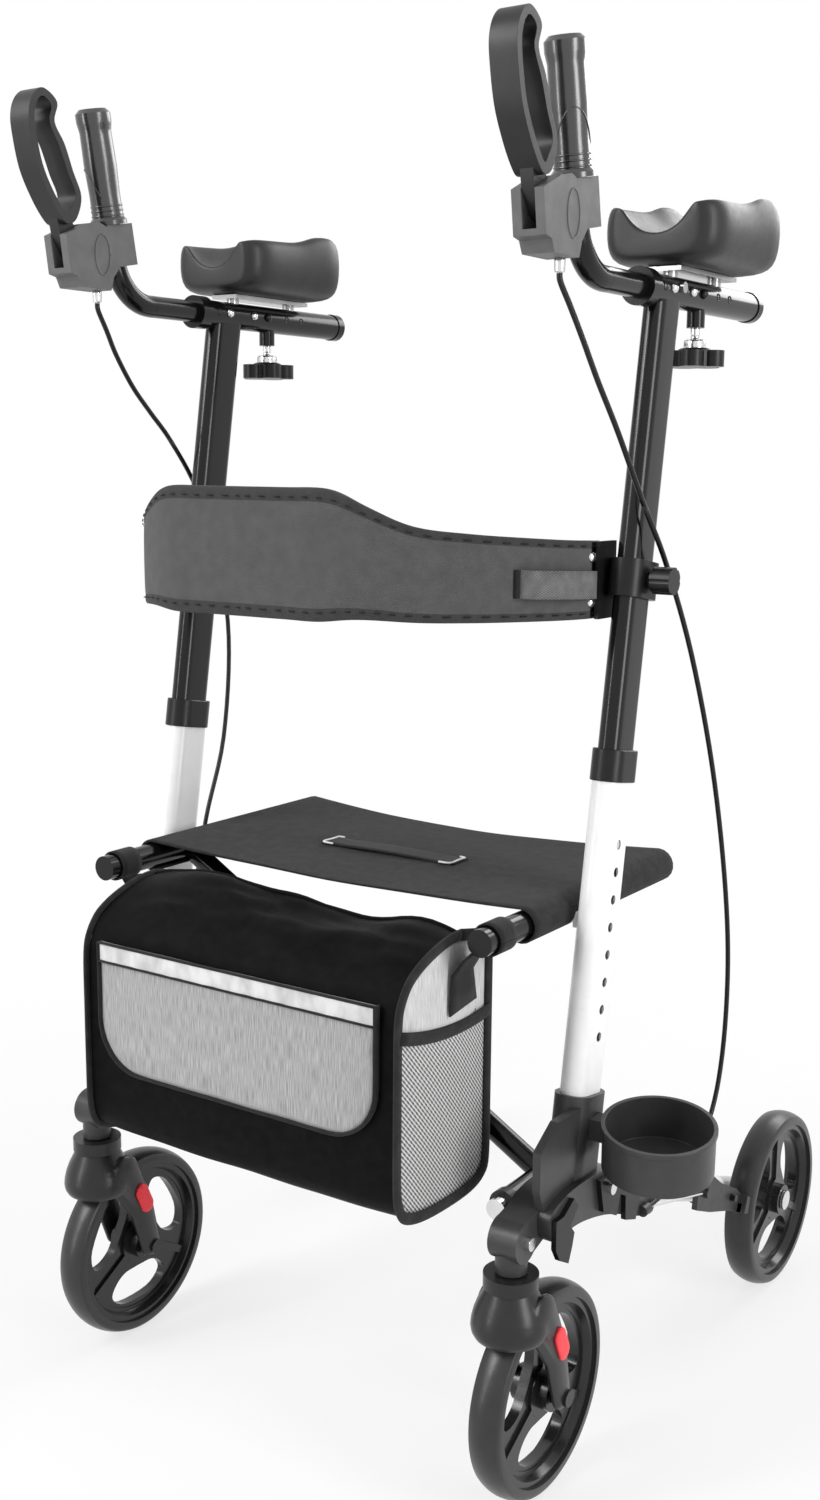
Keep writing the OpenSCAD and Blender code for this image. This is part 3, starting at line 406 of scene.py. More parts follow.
def smooth(points, steps):
    """Catmull-Rom curve through points."""
    pts = [Vector(p) for p in points]
    out = []
    for i in range(len(pts) - 1):
        p0, p1, p2, p3 = pts[max(i - 1, 0)], pts[i], pts[i + 1], pts[min(i + 2, len(pts) - 1)]
        for k in range(steps):
            t = k / steps
            out.append(0.5 * (2 * p1 + (p2 - p0) * t + (2 * p0 - 5 * p1 + 4 * p2 - p3) * t * t
                              + (3 * p1 - p0 - 3 * p2 + p3) * t * t * t))
    return out + [pts[-1]]


def tube(name, path, radius, mats, sides=10, flat=1.0, up=(1, 0, 0)):
    """Round or flattened tube along a path."""
    rings, uv, run = [], [], 0.0
    for i, p in enumerate(path):
        t = (path[min(i + 1, len(path) - 1)] - path[max(i - 1, 0)]).normalized()
        u = Vector(up).cross(t).normalized()
        w = t.cross(u).normalized()
        if i:
            run += (path[i] - path[i - 1]).length
        ring = []
        for k in range(sides):
            a = 2 * math.pi * k / sides
            ring.append(p + u * (radius * flat * math.cos(a)) + w * (radius * math.sin(a)))
            uv.append((run, radius * a))
        rings.append(ring)
    return loft(name, rings, mats, uv=uv)


def turned(name, foot, axis, outline, mats, sides=20):
    """Turned piece: (distance along the axis, radius) pairs in millimetres."""
    axis = Vector(axis).normalized()
    u = axis.orthogonal().normalized()
    w = axis.cross(u)
    angles = [2 * math.pi * k / sides for k in range(sides)]
    rings = []
    for along, r in outline:
        middle = foot + axis * (along / 1000)
        rings.append([middle + (u * math.cos(a) + w * math.sin(a)) * (r / 1000) for a in angles])
    return loft(name, rings, mats)


def applied(parts):
    """The pieces with their modifiers applied."""
    for o in parts:
        bpy.context.view_layer.objects.active = o
        for mod in list(o.modifiers):
            bpy.ops.object.modifier_apply(modifier=mod.name)
    return parts


def joined(name, parts):
    """One mesh from several pieces, with their materials."""
    bpy.ops.object.select_all(action="DESELECT")
    for o in parts:
        o.select_set(True)
    bpy.context.view_layer.objects.active = parts[0]
    bpy.ops.object.join()
    parts[0].name = name
    return parts[0]


# Camera, fitted to the photograph
AZIMUTH, PITCH, ROLL = math.radians(34.26), math.radians(10.05), math.radians(0.46)
CAMERA_AT, LENS, SENSOR = (0.9327, -1.4651, 0.9428), 39.17, 36


def add_camera():
    back = Vector((math.sin(AZIMUTH) * math.cos(PITCH), -math.cos(AZIMUTH) * math.cos(PITCH),
                   math.sin(PITCH)))
    camera = bpy.data.objects.new("camera", bpy.data.cameras.new("camera"))
    scene.collection.objects.link(camera)
    camera.data.sensor_width = SENSOR
    camera.data.lens = LENS
    camera.location = CAMERA_AT
    camera.rotation_mode = "QUATERNION"
    turn = (-back).to_track_quat("-Z", "Y").to_matrix() @ Matrix.Rotation(ROLL, 3, "Z")
    camera.rotation_quaternion = turn.to_quaternion()
    scene.camera = camera


# Brake cables: routes in CAD millimetres, counted outwards from the upright, each split into a part that
# follows the handle and one that follows the mast
UPRIGHT_X = 260
CABLE_D, WIRE_R = 0.005, 0.0012
CABLE_STOP, WIRE_END = (25, 158, 24), (283, 299.5, -16.2)
ROUTES = {
    "left": [(0, -16, 893.3), (0.4, -14.4, 886), (3, -2, 868), (7, 14, 842), (11, 34, 810), (16, 64, 768),
             (20, 110, 706), (23, 154, 651), (26, 209, 564), (30, 258, 451), (32, 295, 333), (33, 312, 233),
             (32, 310, 137), (30, 288, 72), (28, 236, 36), (26, 190, 26), CABLE_STOP],
    "right": [(0, -16, 893.3), (0.4, -14.4, 886), (2, -2, 868), (5, 14, 845), (10, 42, 815), (16, 74, 790),
              (20, 108, 762), (24, 152, 712), (28, 190, 640), (31, 212, 542), (31, 201, 427), (29, 166, 336),
              (28, 146, 250), (27, 148, 160), (27, 178, 84), (26, 194, 40), (25, 176, 25), CABLE_STOP],
}
ROUTE_STEPS, SPLIT = 6, 36


def add_cables():
    for side, s in SIDES:
        path = smooth([at(s * (UPRIGHT_X + p[0]), p[1], p[2]) for p in ROUTES[side]], ROUTE_STEPS)
        upper, lower = path[:SPLIT + 1], path[SPLIT:]
        top = tube(f"{side}_cable_top", upper, CABLE_D / 2, "cable_sheath", 12)
        low = tube(f"{side}_cable_low", lower, CABLE_D / 2, "cable_sheath", 12)
        stop, wire_end = path[-1], at(s * WIRE_END[0], *WIRE_END[1:])
        bare = smooth([stop + Vector((0, 0.001, 0)), (stop + wire_end) / 2, wire_end], 6)
        wire = tube(f"{side}_wire", bare, WIRE_R, "bright_metal", 8)
        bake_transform(top)
        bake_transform(low)
        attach(wire, f"frame_{side}")
        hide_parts(f"{side}_cable")


# Seat sheet, sagging a little between its tubes and wrapped round them
SEAT_X, SEAT_Z, SEAT_R, SEAT_WRAP = 0.223, 0.535, 0.0146, 215
SEAT_FRONT, SEAT_BACK, SEAT_L = -0.246, 0.034, 0.28
SEAT_SAG, SEAT_BOW, SEAT_RIPPLE, SEAT_T = 0.0085, 0.0095, 0.0012, 0.0022
SEAT_ROWS, SPAN_STEPS, WRAP_STEPS = 30, 24, 11


def seat_dip(u, t):
    return SEAT_SAG * (1 - u * u) * (0.8 + 0.2 * math.cos(2 * math.pi * t))


def seat_wrap(x, first):
    """Section of the sheet round the tube at x, turning down from an angle in degrees."""
    out = []
    for k in range(WRAP_STEPS + 1):
        a = math.radians(first - k * SEAT_WRAP / WRAP_STEPS)
        out.append((x + SEAT_R * math.cos(a), SEAT_Z + SEAT_R * math.sin(a)))
    return out


def add_seat():
    span = [(lerp(-SEAT_X, SEAT_X, k / SPAN_STEPS), None) for k in range(1, SPAN_STEPS)]
    columns = seat_wrap(-SEAT_X, 90 + SEAT_WRAP) + span + seat_wrap(SEAT_X, 90)
    verts, uv = [], []
    for i in range(SEAT_ROWS):
        t = i / (SEAT_ROWS - 1)
        y = lerp(SEAT_FRONT, SEAT_BACK, t)
        bow = SEAT_BOW * (1 if i == 0 else -1 if i == SEAT_ROWS - 1 else 0)
        for x, z in columns:
            if z is None:
                u = x / SEAT_X
                ripple = SEAT_RIPPLE * noise.noise(Vector((x * 9, y * 14, 2.0)))
                z_at = SEAT_Z + SEAT_R - seat_dip(u, t) + ripple * (1 - u * u)
                verts.append(Vector((x, y + bow * (1 - u * u), z_at)))
            else:
                verts.append(Vector((x, y, z)))
            uv.append((x, y))
    seat = piece("seat_sheet", verts, sheet_faces(SEAT_ROWS, len(columns)), "seat_fabric", uv=uv)
    thicken(seat, SEAT_T, 1)
    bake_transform(seat)
    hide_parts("seat")


# Lift strap lying on the seat, with pale bar stitches at its ends
STRAP_X, STRAP_T, STRAP_STEPS = 0.082, 0.0018, 40
STRAP_ROWS = (-0.139, -0.132, -0.125, -0.118, -0.111)
STRAP_OVER, STRAP_AT, STRAP_ARCH, STRAP_FREE = 0.0026, 0.43, 0.0015, 0.058
BAR_OUT, BAR_IN, BAR_R, BAR_OVER = 0.079, 0.066, 0.0011, 0.0022


def strap_top(x):
    return SEAT_Z + SEAT_R + STRAP_OVER - seat_dip(x / SEAT_X, STRAP_AT)


def add_lift_strap():
    band = []
    for k in range(STRAP_STEPS + 1):
        x = lerp(-STRAP_X, STRAP_X, k / STRAP_STEPS)
        band.append((x, strap_top(x) + STRAP_ARCH * max(0.0, 1 - (x / STRAP_FREE) ** 2)))
    verts = [Vector((x, y, z)) for x, z in band for y in STRAP_ROWS]
    uv = [(x, y) for x, z in band for y in STRAP_ROWS]
    strap = piece("seat_lift_strap", verts, sheet_faces(len(band), len(STRAP_ROWS)), "webbing", uv=uv)
    thicken(strap, STRAP_T, 1)
    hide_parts("seat_strap")
    bars = []
    for sx in (-1, 1):
        x0, x1 = sx * BAR_OUT, sx * BAR_IN
        hook = [(x1, -0.1405), (x0, -0.139), (x0, -0.125), (x0, -0.112)]
        tail = [(x0, -0.112), (lerp(x0, x1, 0.5), -0.1105)]
        for run in (hook, tail):
            path = smooth([(x, y, strap_top(x) + BAR_OVER) for x, y in run], 5)
            bars.append(tube("bar", path, BAR_R, "pale_thread", 6, up=(0, 0, 1)))
    bars = joined("seat_bar_stitches", bars)
    for o in (strap, bars):
        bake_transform(o)


# Bag: a nylon wrap with a hood that rises to the seat, flecked sides with net pockets
BAG_X, BAG_ANCHOR, BAG_KEEP = 0.183, (0.2085, 0, 0.5), 0.27
BAG_MID, BAG_T = Vector((0, -0.312, 0.41)), 0.002
HOOD_Y, HOOD_Z, HOOD_LOW, SIDE_Z = -0.284, 0.539, 0.49, 0.505
DIP_X, DIP_W, DIP, HOOD_WAVE, HOOD_FOLD, CREASE = 0.085, 0.06, 0.012, 0.003, 0.0055, 0.0016
BACK_TOP, BACK_RISE, BACK_SAG, FLOOR_Z, FLOOR_SAG = 0.45, 0.074, 0.012, 0.31, 0.003
BACK_Y, EASE_Z, EASE_RISE, BACK_EASE = -0.24, 0.33, 0.1, 0.0138
BAG_PROFILE = [
    (HOOD_Y, HOOD_Z), (-0.302, 0.5375), (-0.324, 0.5305), (-0.345, 0.520), (-0.362, 0.5065), (-0.3745, 0.490),
    (-0.3795, 0.470), (-0.380, 0.420), (-0.380, 0.360), (-0.3795, 0.322), (-0.376, 0.304), (-0.366, 0.292),
    (-0.340, 0.284), (-0.300, 0.281), (-0.262, 0.282), (-0.241, 0.289), (-0.2345, 0.304), (-0.234, 0.360),
    (-0.234, 0.450), (-0.234, 0.524),
]
BAG_STATIONS = [-1, -0.99, -0.97, -0.94]
BAG_STATIONS += [lerp(-0.9, 0.9, k / 30) for k in range(31)]
BAG_STATIONS += [0.94, 0.97, 0.99, 1]
SIDE_LEVELS, SIDE_T, SIDE_SET, SIDE_IN, BULGE, DENT = 12, 0.0018, 0.0015, 0.97, 0.004, 0.002
NET_FRONT, NET_L, HEM_FRONT, HEM_BACK = -0.38, 0.146, -0.379, -0.2355
EDGE_OUT, EDGE_R, EDGE_FLAT = 0.0005, 0.0026, 2.1
HEM_OUT, HEM_R, HEM_FLAT = 0.0032, 0.0062, 0.3
HOOD_EDGE_R = 0.0022
TAB = [(BAG_X + 0.0046, 0.4625), (BAG_X + 0.005, 0.480), (BAG_X + 0.0052, 0.496), (0.1985, 0.511),
       (0.2105, 0.5235)]
TAB_FRONT, TAB_BACK, TAB_R, TAB_T = (-0.306, -0.302), (-0.262, -0.276), 0.0143, 0.0018


def side_height(z):
    """Height of the side panels' edge, lower than the hood."""
    return z if z < SIDE_Z else lerp(SIDE_Z, z, 0.7)


def net_top(y):
    """Height of the net pocket's bound top edge."""
    t = (y - NET_FRONT) / NET_L
    return 0.4605 - 0.046 * t * (1 - 0.72 * t)


def bag_point(p, u):
    """Point of the wrap: p on its profile, u from -1 to 1 across the bag."""
    crown = 1 - u ** 4
    q = Vector((u * BAG_X, p.y, lerp(p.z, side_height(p.z), u ** 8)))
    if p.y < HOOD_Y + 0.001 and p.z > HOOD_LOW:
        rise = (p.z - HOOD_LOW) / (HOOD_Z - HOOD_LOW)
        dip = DIP * math.exp(-((q.x - DIP_X) / DIP_W) ** 2)
        q.z -= rise * crown * (dip + HOOD_WAVE * math.cos(q.x * 30))
        folds = noise.noise(Vector((q.x * 11 + q.y * 14, q.y * 34 - q.x * 9, 1.3)))
        folds += 0.5 * noise.noise(Vector((q.x * 26 - q.y * 20, q.y * 70 + q.x * 12, 5.1)))
        q.z += HOOD_FOLD * folds * crown * min(1.0, 3 * rise)
    elif p.z > BACK_TOP:
        q.z -= BACK_SAG * (p.z - BACK_TOP) / BACK_RISE * (1 - u * u)
    elif p.z < FLOOR_Z:
        q.z -= FLOOR_SAG * crown
    if p.y > BACK_Y and p.z > EASE_Z:
        q.y -= BACK_EASE * (1 - u ** 12) * min(1.0, (p.z - EASE_Z) / EASE_RISE)
    crease = noise.noise(Vector((q.x * 13, q.y * 17, q.z * 15)))
    return q + (p - BAG_MID).normalized() * (CREASE * crease * crown)


def bag_panel(s, loop):
    """Side panel that bulges a little inside its edge loop: cloth above the net pocket's hem, net below."""
    verts, face_mats = [], []
    for level in range(SIDE_LEVELS):
        t = level / (SIDE_LEVELS - 1)
        for p in loop:
            q = lerp(p, BAG_MID, t * SIDE_IN)
            bulge = BULGE * (1 - (1 - t) ** 2) + DENT * noise.noise(Vector((s * 3, q.y * 20, q.z * 20))) * t
            verts.append(Vector((s * (BAG_X - SIDE_SET + bulge), q.y, q.z)))
    faces = sheet_faces(SIDE_LEVELS, len(loop), True)
    faces.append(tuple((SIDE_LEVELS - 1) * len(loop) + j for j in range(len(loop))))
    for f in faces:
        centre = sum((verts[i] for i in f), Vector()) / len(f)
        face_mats.append(0 if centre.z > net_top(centre.y) else 1)
    return thicken(piece("side", verts, faces, ["side_cloth", "side_net"], face_mats), SIDE_T, -1)


def bag_tab(s):
    """Webbing tab from the side panel up to the seat tube."""
    ribbon, uv = [], []
    for i, (x, z) in enumerate(TAB):
        y0, y1 = lerp(*TAB_FRONT, min(1, i / 4)), lerp(*TAB_BACK, min(1, i / 4))
        for j in range(5):
            y = lerp(y0, y1, j / 4)
            ribbon.append(Vector((s * x, y, z + (0.006 * (j / 4 - 0.5) if i == 0 else 0))))
            uv.append((0.012 * i, y))
    return thicken(piece("tab", ribbon, sheet_faces(len(TAB), 5), "webbing", uv=uv), TAB_T, 0)


def add_tab_loop(side, s):
    """Loop of the tab round the seat tube, on the brace that holds the tube."""
    ribbon, uv = [], []
    for k in range(33):
        a = 2 * math.pi * k / 32
        for j in range(5):
            y = lerp(TAB_FRONT[1], TAB_BACK[1], j / 4)
            ribbon.append(Vector((s * (SEAT_X + TAB_R * math.cos(a)), y, SEAT_Z + TAB_R * math.sin(a))))
            uv.append((TAB_R * a, y))
    tab_loop = piece(f"{side}_tab_loop", ribbon, sheet_faces(33, 5), "webbing", uv=uv)
    thicken(tab_loop, TAB_T, 0)
    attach(tab_loop, "brace_b" if s < 0 else "brace_a")


def add_bag():
    profile = smooth([(0, y, z) for y, z in BAG_PROFILE], 4)
    verts, uv, run = [], [], 0.0
    for i, p in enumerate(profile):
        run += (p - profile[max(i - 1, 0)]).length
        for u in BAG_STATIONS:
            verts.append(bag_point(p, u))
            uv.append((u * BAG_X, run))
    shell = piece("bag_shell", verts, sheet_faces(len(profile), len(BAG_STATIONS)), "nylon", uv=uv)
    thicken(shell, BAG_T, -1)
    outline = [Vector((0, p.y, side_height(p.z))) for p in profile]
    loop = outline + [lerp(outline[-1], outline[0], k / 6) for k in range(1, 6)]
    parts = []
    for side, s in SIDES:
        parts.append(bag_panel(s, loop))
        edge = [Vector((s * (BAG_X + EDGE_OUT), p.y, p.z)) for p in loop]
        parts.append(tube("edge", edge + edge[:1], EDGE_R, "binding", 10, flat=EDGE_FLAT))
        hem = []
        for k in range(17):
            y = lerp(HEM_FRONT, HEM_BACK, k / 16)
            hem.append(Vector((s * (BAG_X + HEM_OUT), y, net_top(y))))
        parts.append(tube("hem", hem, HEM_R, "binding", 10, flat=HEM_FLAT, up=(0, 0, 1)))
        parts.append(bag_tab(s))
        add_tab_loop(side, s)
    hood_edge = [Vector(v.co) for v in shell.data.vertices[:len(BAG_STATIONS)]]
    parts.append(tube("hood_edge", hood_edge, HOOD_EDGE_R, "nylon", 8, up=(0, 1, 0)))
    bag_sides = joined("bag_sides", applied(parts))
    for o in (shell, bag_sides):
        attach(o, "bag_body")
        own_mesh(o)
    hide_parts("bag")


# Pocket flap on the front: flecked cloth with a binding and a pale strip along its top
FLAP_X, FLAP_TOP, FLAP_LOW, FLAP_R, FLAP_Y, FLAP_T = 0.163, 0.486, 0.360, 0.050, -0.3828, 0.0022
FLAP_ROWS, FLAP_COLS, TAPE_COLS = 25, 41, 65
FLAP_SET, FLAP_CROWN, FLAP_RIPPLE = 0.0006, 0.0008, 0.0016
BINDING_R, BINDING_FLAT = 0.0045, 0.42
LINE_DROPS, LINE_OUT, LINE_R, LINE_FLAT = (0.0005, 0.0185), 0.002, 0.0022, 0.6
TAPE_DROPS, TAPE_OUT, TAPE_PUCKER = (0.001, 0.007, 0.013, 0.0185), 0.0024, 0.0003


def flap_edge(z):
    """Half width of the flap at a height, with rounded lower corners."""
    d = FLAP_LOW + FLAP_R - z
    return FLAP_X if d <= 0 else FLAP_X - FLAP_R + math.sqrt(max(0.0, FLAP_R ** 2 - d * d))


def add_flap():
    verts = []
    for i in range(FLAP_ROWS):
        z = lerp(FLAP_TOP, FLAP_LOW + 0.0002, i / (FLAP_ROWS - 1))
        for j in range(FLAP_COLS):
            u = lerp(-1, 1, j / (FLAP_COLS - 1))
            ripple = FLAP_RIPPLE * noise.noise(Vector((u * 3, z * 25, 4.0)))
            y = FLAP_Y + FLAP_SET - FLAP_CROWN * (1 - u ** 4) + ripple * 0.5
            verts.append(Vector((u * flap_edge(z), y, z)))
    panel = piece("flap_panel", verts, sheet_faces(FLAP_ROWS, FLAP_COLS), "flap_cloth")
    thicken(panel, FLAP_T, 0)
    corner = FLAP_LOW + FLAP_R
    edge = [Vector((FLAP_X, FLAP_Y, FLAP_TOP)), Vector((FLAP_X, FLAP_Y, lerp(FLAP_TOP, corner, 0.5)))]
    for k in range(11):
        a = math.radians(9 * k)
        edge.append(Vector((FLAP_X - FLAP_R + FLAP_R * math.cos(a), FLAP_Y, corner - FLAP_R * math.sin(a))))
    whole = edge + [Vector((-p.x, p.y, p.z)) for p in reversed(edge)]
    binding = [tube("binding", whole, BINDING_R, "webbing", 10, flat=BINDING_FLAT, up=(0, 1, 0))]
    for drop in LINE_DROPS:
        y, z = FLAP_Y - LINE_OUT, FLAP_TOP - drop
        line = [Vector((lerp(-FLAP_X, FLAP_X, k / 16), y, z)) for k in range(17)]
        binding.append(tube("line", line, LINE_R, "webbing", 8, flat=LINE_FLAT, up=(0, 1, 0)))
    verts = []
    for drop in TAPE_DROPS:
        for j in range(TAPE_COLS):
            x = lerp(-FLAP_X, FLAP_X, j / (TAPE_COLS - 1))
            pucker = TAPE_PUCKER * math.sin(x * 240) * math.sin(x * 67)
            verts.append(Vector((x, FLAP_Y - TAPE_OUT - pucker, FLAP_TOP - drop)))
    binding.append(piece("tape", verts, sheet_faces(len(TAPE_DROPS), TAPE_COLS), "strip_tape"))
    binding = joined("flap_binding", binding)
    for o in (panel, binding):
        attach(o, "flap")
        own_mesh(o)
    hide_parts("bag_flap")


# Back belt in CAD millimetres: padded middle, narrow ends held by the clamps, bound edges
CLAMP_Y, CLAMP_Z, MID_Z, BOW, END_X, BELT_SET = 133.44, 638.0, 663.0, 220.0, 239.0, 17
BELT_H, BELT_T, BELT_THIN, BELT_FALL = (113, 70), (6.6, 2.8), 1.15, 1.6
# x and y of the half curve, and how far it has narrowed from the middle to the end
BELT_HALF = [
    (0, -BOW, 0), (46, -BOW, 0), (88, 2 - BOW, 0.02), (122, 14 - BOW, 0.42), (152, 38 - BOW, 0.74),
    (184, 80 - BOW, 0.86), (210, 130 - BOW, 0.93), (228, 178 - BOW, 0.98), (END_X - 3.05, 0, 1),
]
# Section as shares of the half thickness and half height, with a groove beside each bound edge
BELT_RING = [
    (-0.62, -1), (-0.2, -1.005), (0.2, -1.005), (0.62, -1), (0.9, -0.95), (1.0, -0.86), (0.82, -0.8),
    (1.0, -0.72), (1.06, -0.35), (1.08, 0), (1.06, 0.35), (1.0, 0.72), (0.82, 0.8), (1.0, 0.86), (0.9, 0.95),
    (0.62, 1), (0.2, 1.005), (-0.2, 1.005), (-0.62, 1), (-0.9, 0.95), (-1, 0.86), (-0.82, 0.8), (-1, 0.72),
    (-1.06, 0.35), (-1.08, 0), (-1.06, -0.35), (-1, -0.72), (-0.82, -0.8), (-1, -0.86), (-0.9, -0.95),
]
BELT_BACK, BELT_FRONT, RIVETS, STITCHED = 9, 24, (22, 26), (5, 13, 20, 28)
BOUND = 1.58
KEEPER_PATH = [(205, 119), (210.5, 130), (220, 154), (228, 176), (233, 196), (235.5, 212)]
KEEPER_LIFT, KEEPER_ROWS, KEEPER_T = [3, 6.5, 8.5, 7.5, 5, 2.5], (-12.5, -6, 0, 6, 12.5), 0.0022
KEEPER_OFF, KEEPER_OUT, KEEPER_FORWARD, KEEPER_DROP = 2.6, 0.9, 0.45, 0.9
CURL = [(0, 2), (0.3, 3.4), (24.7, 3.4), (25, 2)]
RIVET = [(-1, 4.8), (0.6, 4.8), (1.8, 3.9), (2.7, 2), (3, 0.4)]
STITCH_R, STITCH_OUT = 0.0006, 0.0009


def belt_rings():
    """Rings of the belt from its right end to its left, and their UV pairs."""
    curve = smooth(BELT_HALF, 6)
    curve = [Vector((-p.x, p.y, p.z)) for p in reversed(curve[1:])] + curve
    rings, uv, run = [], [], 0.0
    for i, p in enumerate(curve):
        d = curve[min(i + 1, len(curve) - 1)] - curve[max(i - 1, 0)]
        across = Vector((-d.y, d.x, 0)).normalized()
        if i:
            run += (Vector((p.x, p.y, 0)) - Vector((curve[i - 1].x, curve[i - 1].y, 0))).length / 1000
        h = lerp(*BELT_H, p.z) / 2
        t = lerp(*BELT_T, min(1, BELT_THIN * p.z))
        centre = at(p.x, p.y + CLAMP_Y - BELT_SET, lerp(MID_Z, CLAMP_Z, max(0.0, p.z) ** BELT_FALL))
        rings.append([centre + across * (a * t / 1000) + Vector((0, 0, b * h / 1000)) for a, b in BELT_RING])
        uv += [(run, b * h / 1000) for a, b in BELT_RING]
    return rings, uv


def belt_keeper(s, ring):
    """Keeper strap with its curled end and two rivets, at one end of the belt."""
    ribbon, uv = [], []
    for i, ((x, y), lift) in enumerate(zip(KEEPER_PATH, KEEPER_LIFT)):
        off = lift + KEEPER_OFF
        base = at(s * x + s * off * KEEPER_OUT, y - BOW + CLAMP_Y - BELT_SET - off * KEEPER_FORWARD, CLAMP_Z)
        for j, dz in enumerate(KEEPER_ROWS):
            ribbon.append(base + Vector((0, 0, (dz - KEEPER_DROP * i) / 1000)))
            uv.append((0.014 * i, 0.0063 * j))
    keeper = piece("keeper", ribbon, sheet_faces(len(KEEPER_PATH), len(KEEPER_ROWS)), "keeper_web", uv=uv)
    parts = [thicken(keeper, KEEPER_T, 0)]
    x, y = KEEPER_PATH[0]
    foot = lerp(ribbon[2], at(s * x, y - BOW + CLAMP_Y - BELT_SET, CLAMP_Z), 0.3)
    parts.append(turned("curl", foot - Vector((0, 0, 0.0125)), (0, 0, 1), CURL, "webbing"))
    out = (ring[BELT_FRONT] - ring[BELT_BACK]).normalized()
    for j in RIVETS:
        parts.append(turned("rivet", lerp(ring[BELT_FRONT], ring[j], 0.8), out, RIVET, "bright_metal", 16))
    return parts


def belt_stitches(rings):
    """Rows of stitches in the grooves on both faces."""
    parts = []
    for ring, following in zip(rings[3:-3:2], rings[4:-2:2]):
        out = (ring[BELT_FRONT] - ring[BELT_BACK]).normalized()
        for j in STITCHED:
            off = out * (STITCH_OUT if j > len(BELT_RING) // 2 else -STITCH_OUT)
            path = [lerp(ring[j], following[j], t) + off for t in (0.1, 0.5, 0.9)]
            parts.append(tube("stitch", path, STITCH_R, "thread", 5, up=(0, 0, 1)))
    return parts


def add_belt():
    rings, uv = belt_rings()
    strips = [int(abs(a[1] + b[1]) > BOUND) for a, b in zip(BELT_RING, BELT_RING[1:] + BELT_RING[:1])]
    belt = loft("back_belt", rings, ["belt_cloth", "belt_edge", "clip_plastic"], uv=uv, strips=strips)
    for poly in belt.data.polygons:
        row = poly.index // len(BELT_RING)
        if row < 3 or row > len(rings) - 5:
            poly.material_index = 2
    rounded(belt)
    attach(belt, "mast_right")
    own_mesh(belt)
    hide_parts("back_strap")
    parts = belt_keeper(-1, rings[3]) + belt_keeper(1, rings[-4]) + belt_stitches(rings)
    keepers = joined("belt_keepers", applied(parts))
    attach(keepers, "mast_right")
    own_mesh(keepers)


# Forearm pads in CAD millimetres: half section, with its narrowing and rise from front (0) to back (1)
PAD_L, PAD_W, PAD_H, PAD_Y, PAD_Z, TROUGH = 160, 118, 54, 237, 917.5, 0.53
PAD_SHAPE = [
    (0.42, 0), (0.72, 0.03), (0.9, 0.12), (0.98, 0.32), (1, 0.58), (0.98, 0.82), (0.93, 0.96), (0.85, 1),
    (0.76, 0.94), (0.62, 0.8), (0.46, 0.66), (0.24, 0.56), (0, TROUGH),
]
PAD_ENDS = [
    (0, 0.72), (0.012, 0.8), (0.035, 0.88), (0.07, 0.95), (0.12, 0.99), (0.18, 1), (0.35, 0.99), (0.5, 0.985),
    (0.64, 0.99), (0.82, 1), (0.89, 0.985), (0.94, 0.95), (0.975, 0.88), (0.99, 0.82), (1, 0.74),
]
PAD_RISE = [
    (0, 0.95), (0.05, 1), (0.3, 1.04), (0.48, 1.07), (0.58, 1.14), (0.68, 1.24), (0.8, 1.28), (0.88, 1.27),
    (0.95, 1.18), (1, 1.06),
]
PAD_STATIONS = [
    0, 0.006, 0.015, 0.035, 0.08, 0.14, 0.2, 0.28, 0.36, 0.44, 0.52, 0.6, 0.68, 0.74, 0.79, 0.83, 0.87, 0.91,
    0.94, 0.965, 0.985, 0.995, 1,
]
PAD_CAP = [(0, 1, 11, 12), (1, 2, 10, 11), (2, 3, 9, 10), (3, 4, 8, 9), (4, 5, 7, 8), (5, 6, 7)]
PAD_CAP += [tuple(24 - j for j in face) for face in PAD_CAP] + [(0, 12, 24)]


def lookup(t, table):
    for (t0, v0), (t1, v1) in zip(table, table[1:]):
        if t <= t1:
            return lerp(v0, v1, (t - t0) / (t1 - t0))
    return table[-1][1]


def pad_half(t):
    """Half section of the pad: x outwards and z above its underside."""
    k, h, v = lookup(t, PAD_ENDS), PAD_H * lookup(t, PAD_RISE), PAD_H * (0.43 + 0.2 * t)
    out = []
    for a, b in PAD_SHAPE:
        z = b * h if b < TROUGH or a > 0.7 else v + (b - TROUGH) / 0.47 * (h - v)
        out.append((a * k * PAD_W / 2, z + 30 * (1 - b) * (1 - k)))
    return out


def add_pads():
    for side, s in SIDES:
        rings = []
        for t in PAD_STATIONS:
            half, y = pad_half(t), PAD_Y + PAD_L * (t - 0.5)
            ring = [at(s * UPRIGHT_X + x, y, PAD_Z + z) for x, z in half]
            ring += [at(s * UPRIGHT_X - x, y, PAD_Z + z) for x, z in reversed(half[:-1])]
            rings.append(ring)
        foam = loft(f"{side}_pad_foam", rings, "pad_foam", PAD_CAP)
        rounded(foam)
        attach(foam, f"mast_{side}")
        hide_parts(f"{side}_pad")


# Small fittings in CAD millimetres: grip rings and seam, ovals on the lever housing, cable ferrule, nut, stem
# and boss of the reach knob, studs on the handle sleeve
GRIP_LEAN, CORNER, HANDLE_Z = math.radians(10.7), 17, 896
GRIP_RINGS, GRIP_RING_R = ((83.5, 15.3), (88, 15.2), (92.5, 15.1)), 0.0009
SEAM_OUT, SEAM_Z, SEAM_H, SEAM_TURN, SEAM_R = 15.1, 100, 28, (-0.5, 2.1), 0.0006
OVAL_X, OVAL_Y, OVAL_Z, OVAL_HALF, OVAL_R = 15.1, CORNER - 39, HANDLE_Z + 42, (10, 19), 0.0008
FERRULE_Y, FERRULE_Z = CORNER - 33, 893.7
FERRULE = [(0, 3.2), (0, 3.9), (1, 4.3), (9, 4.6), (11, 4.6), (11.5, 4.2)]
KNOB_Y, KNOB_Z = 247, 832
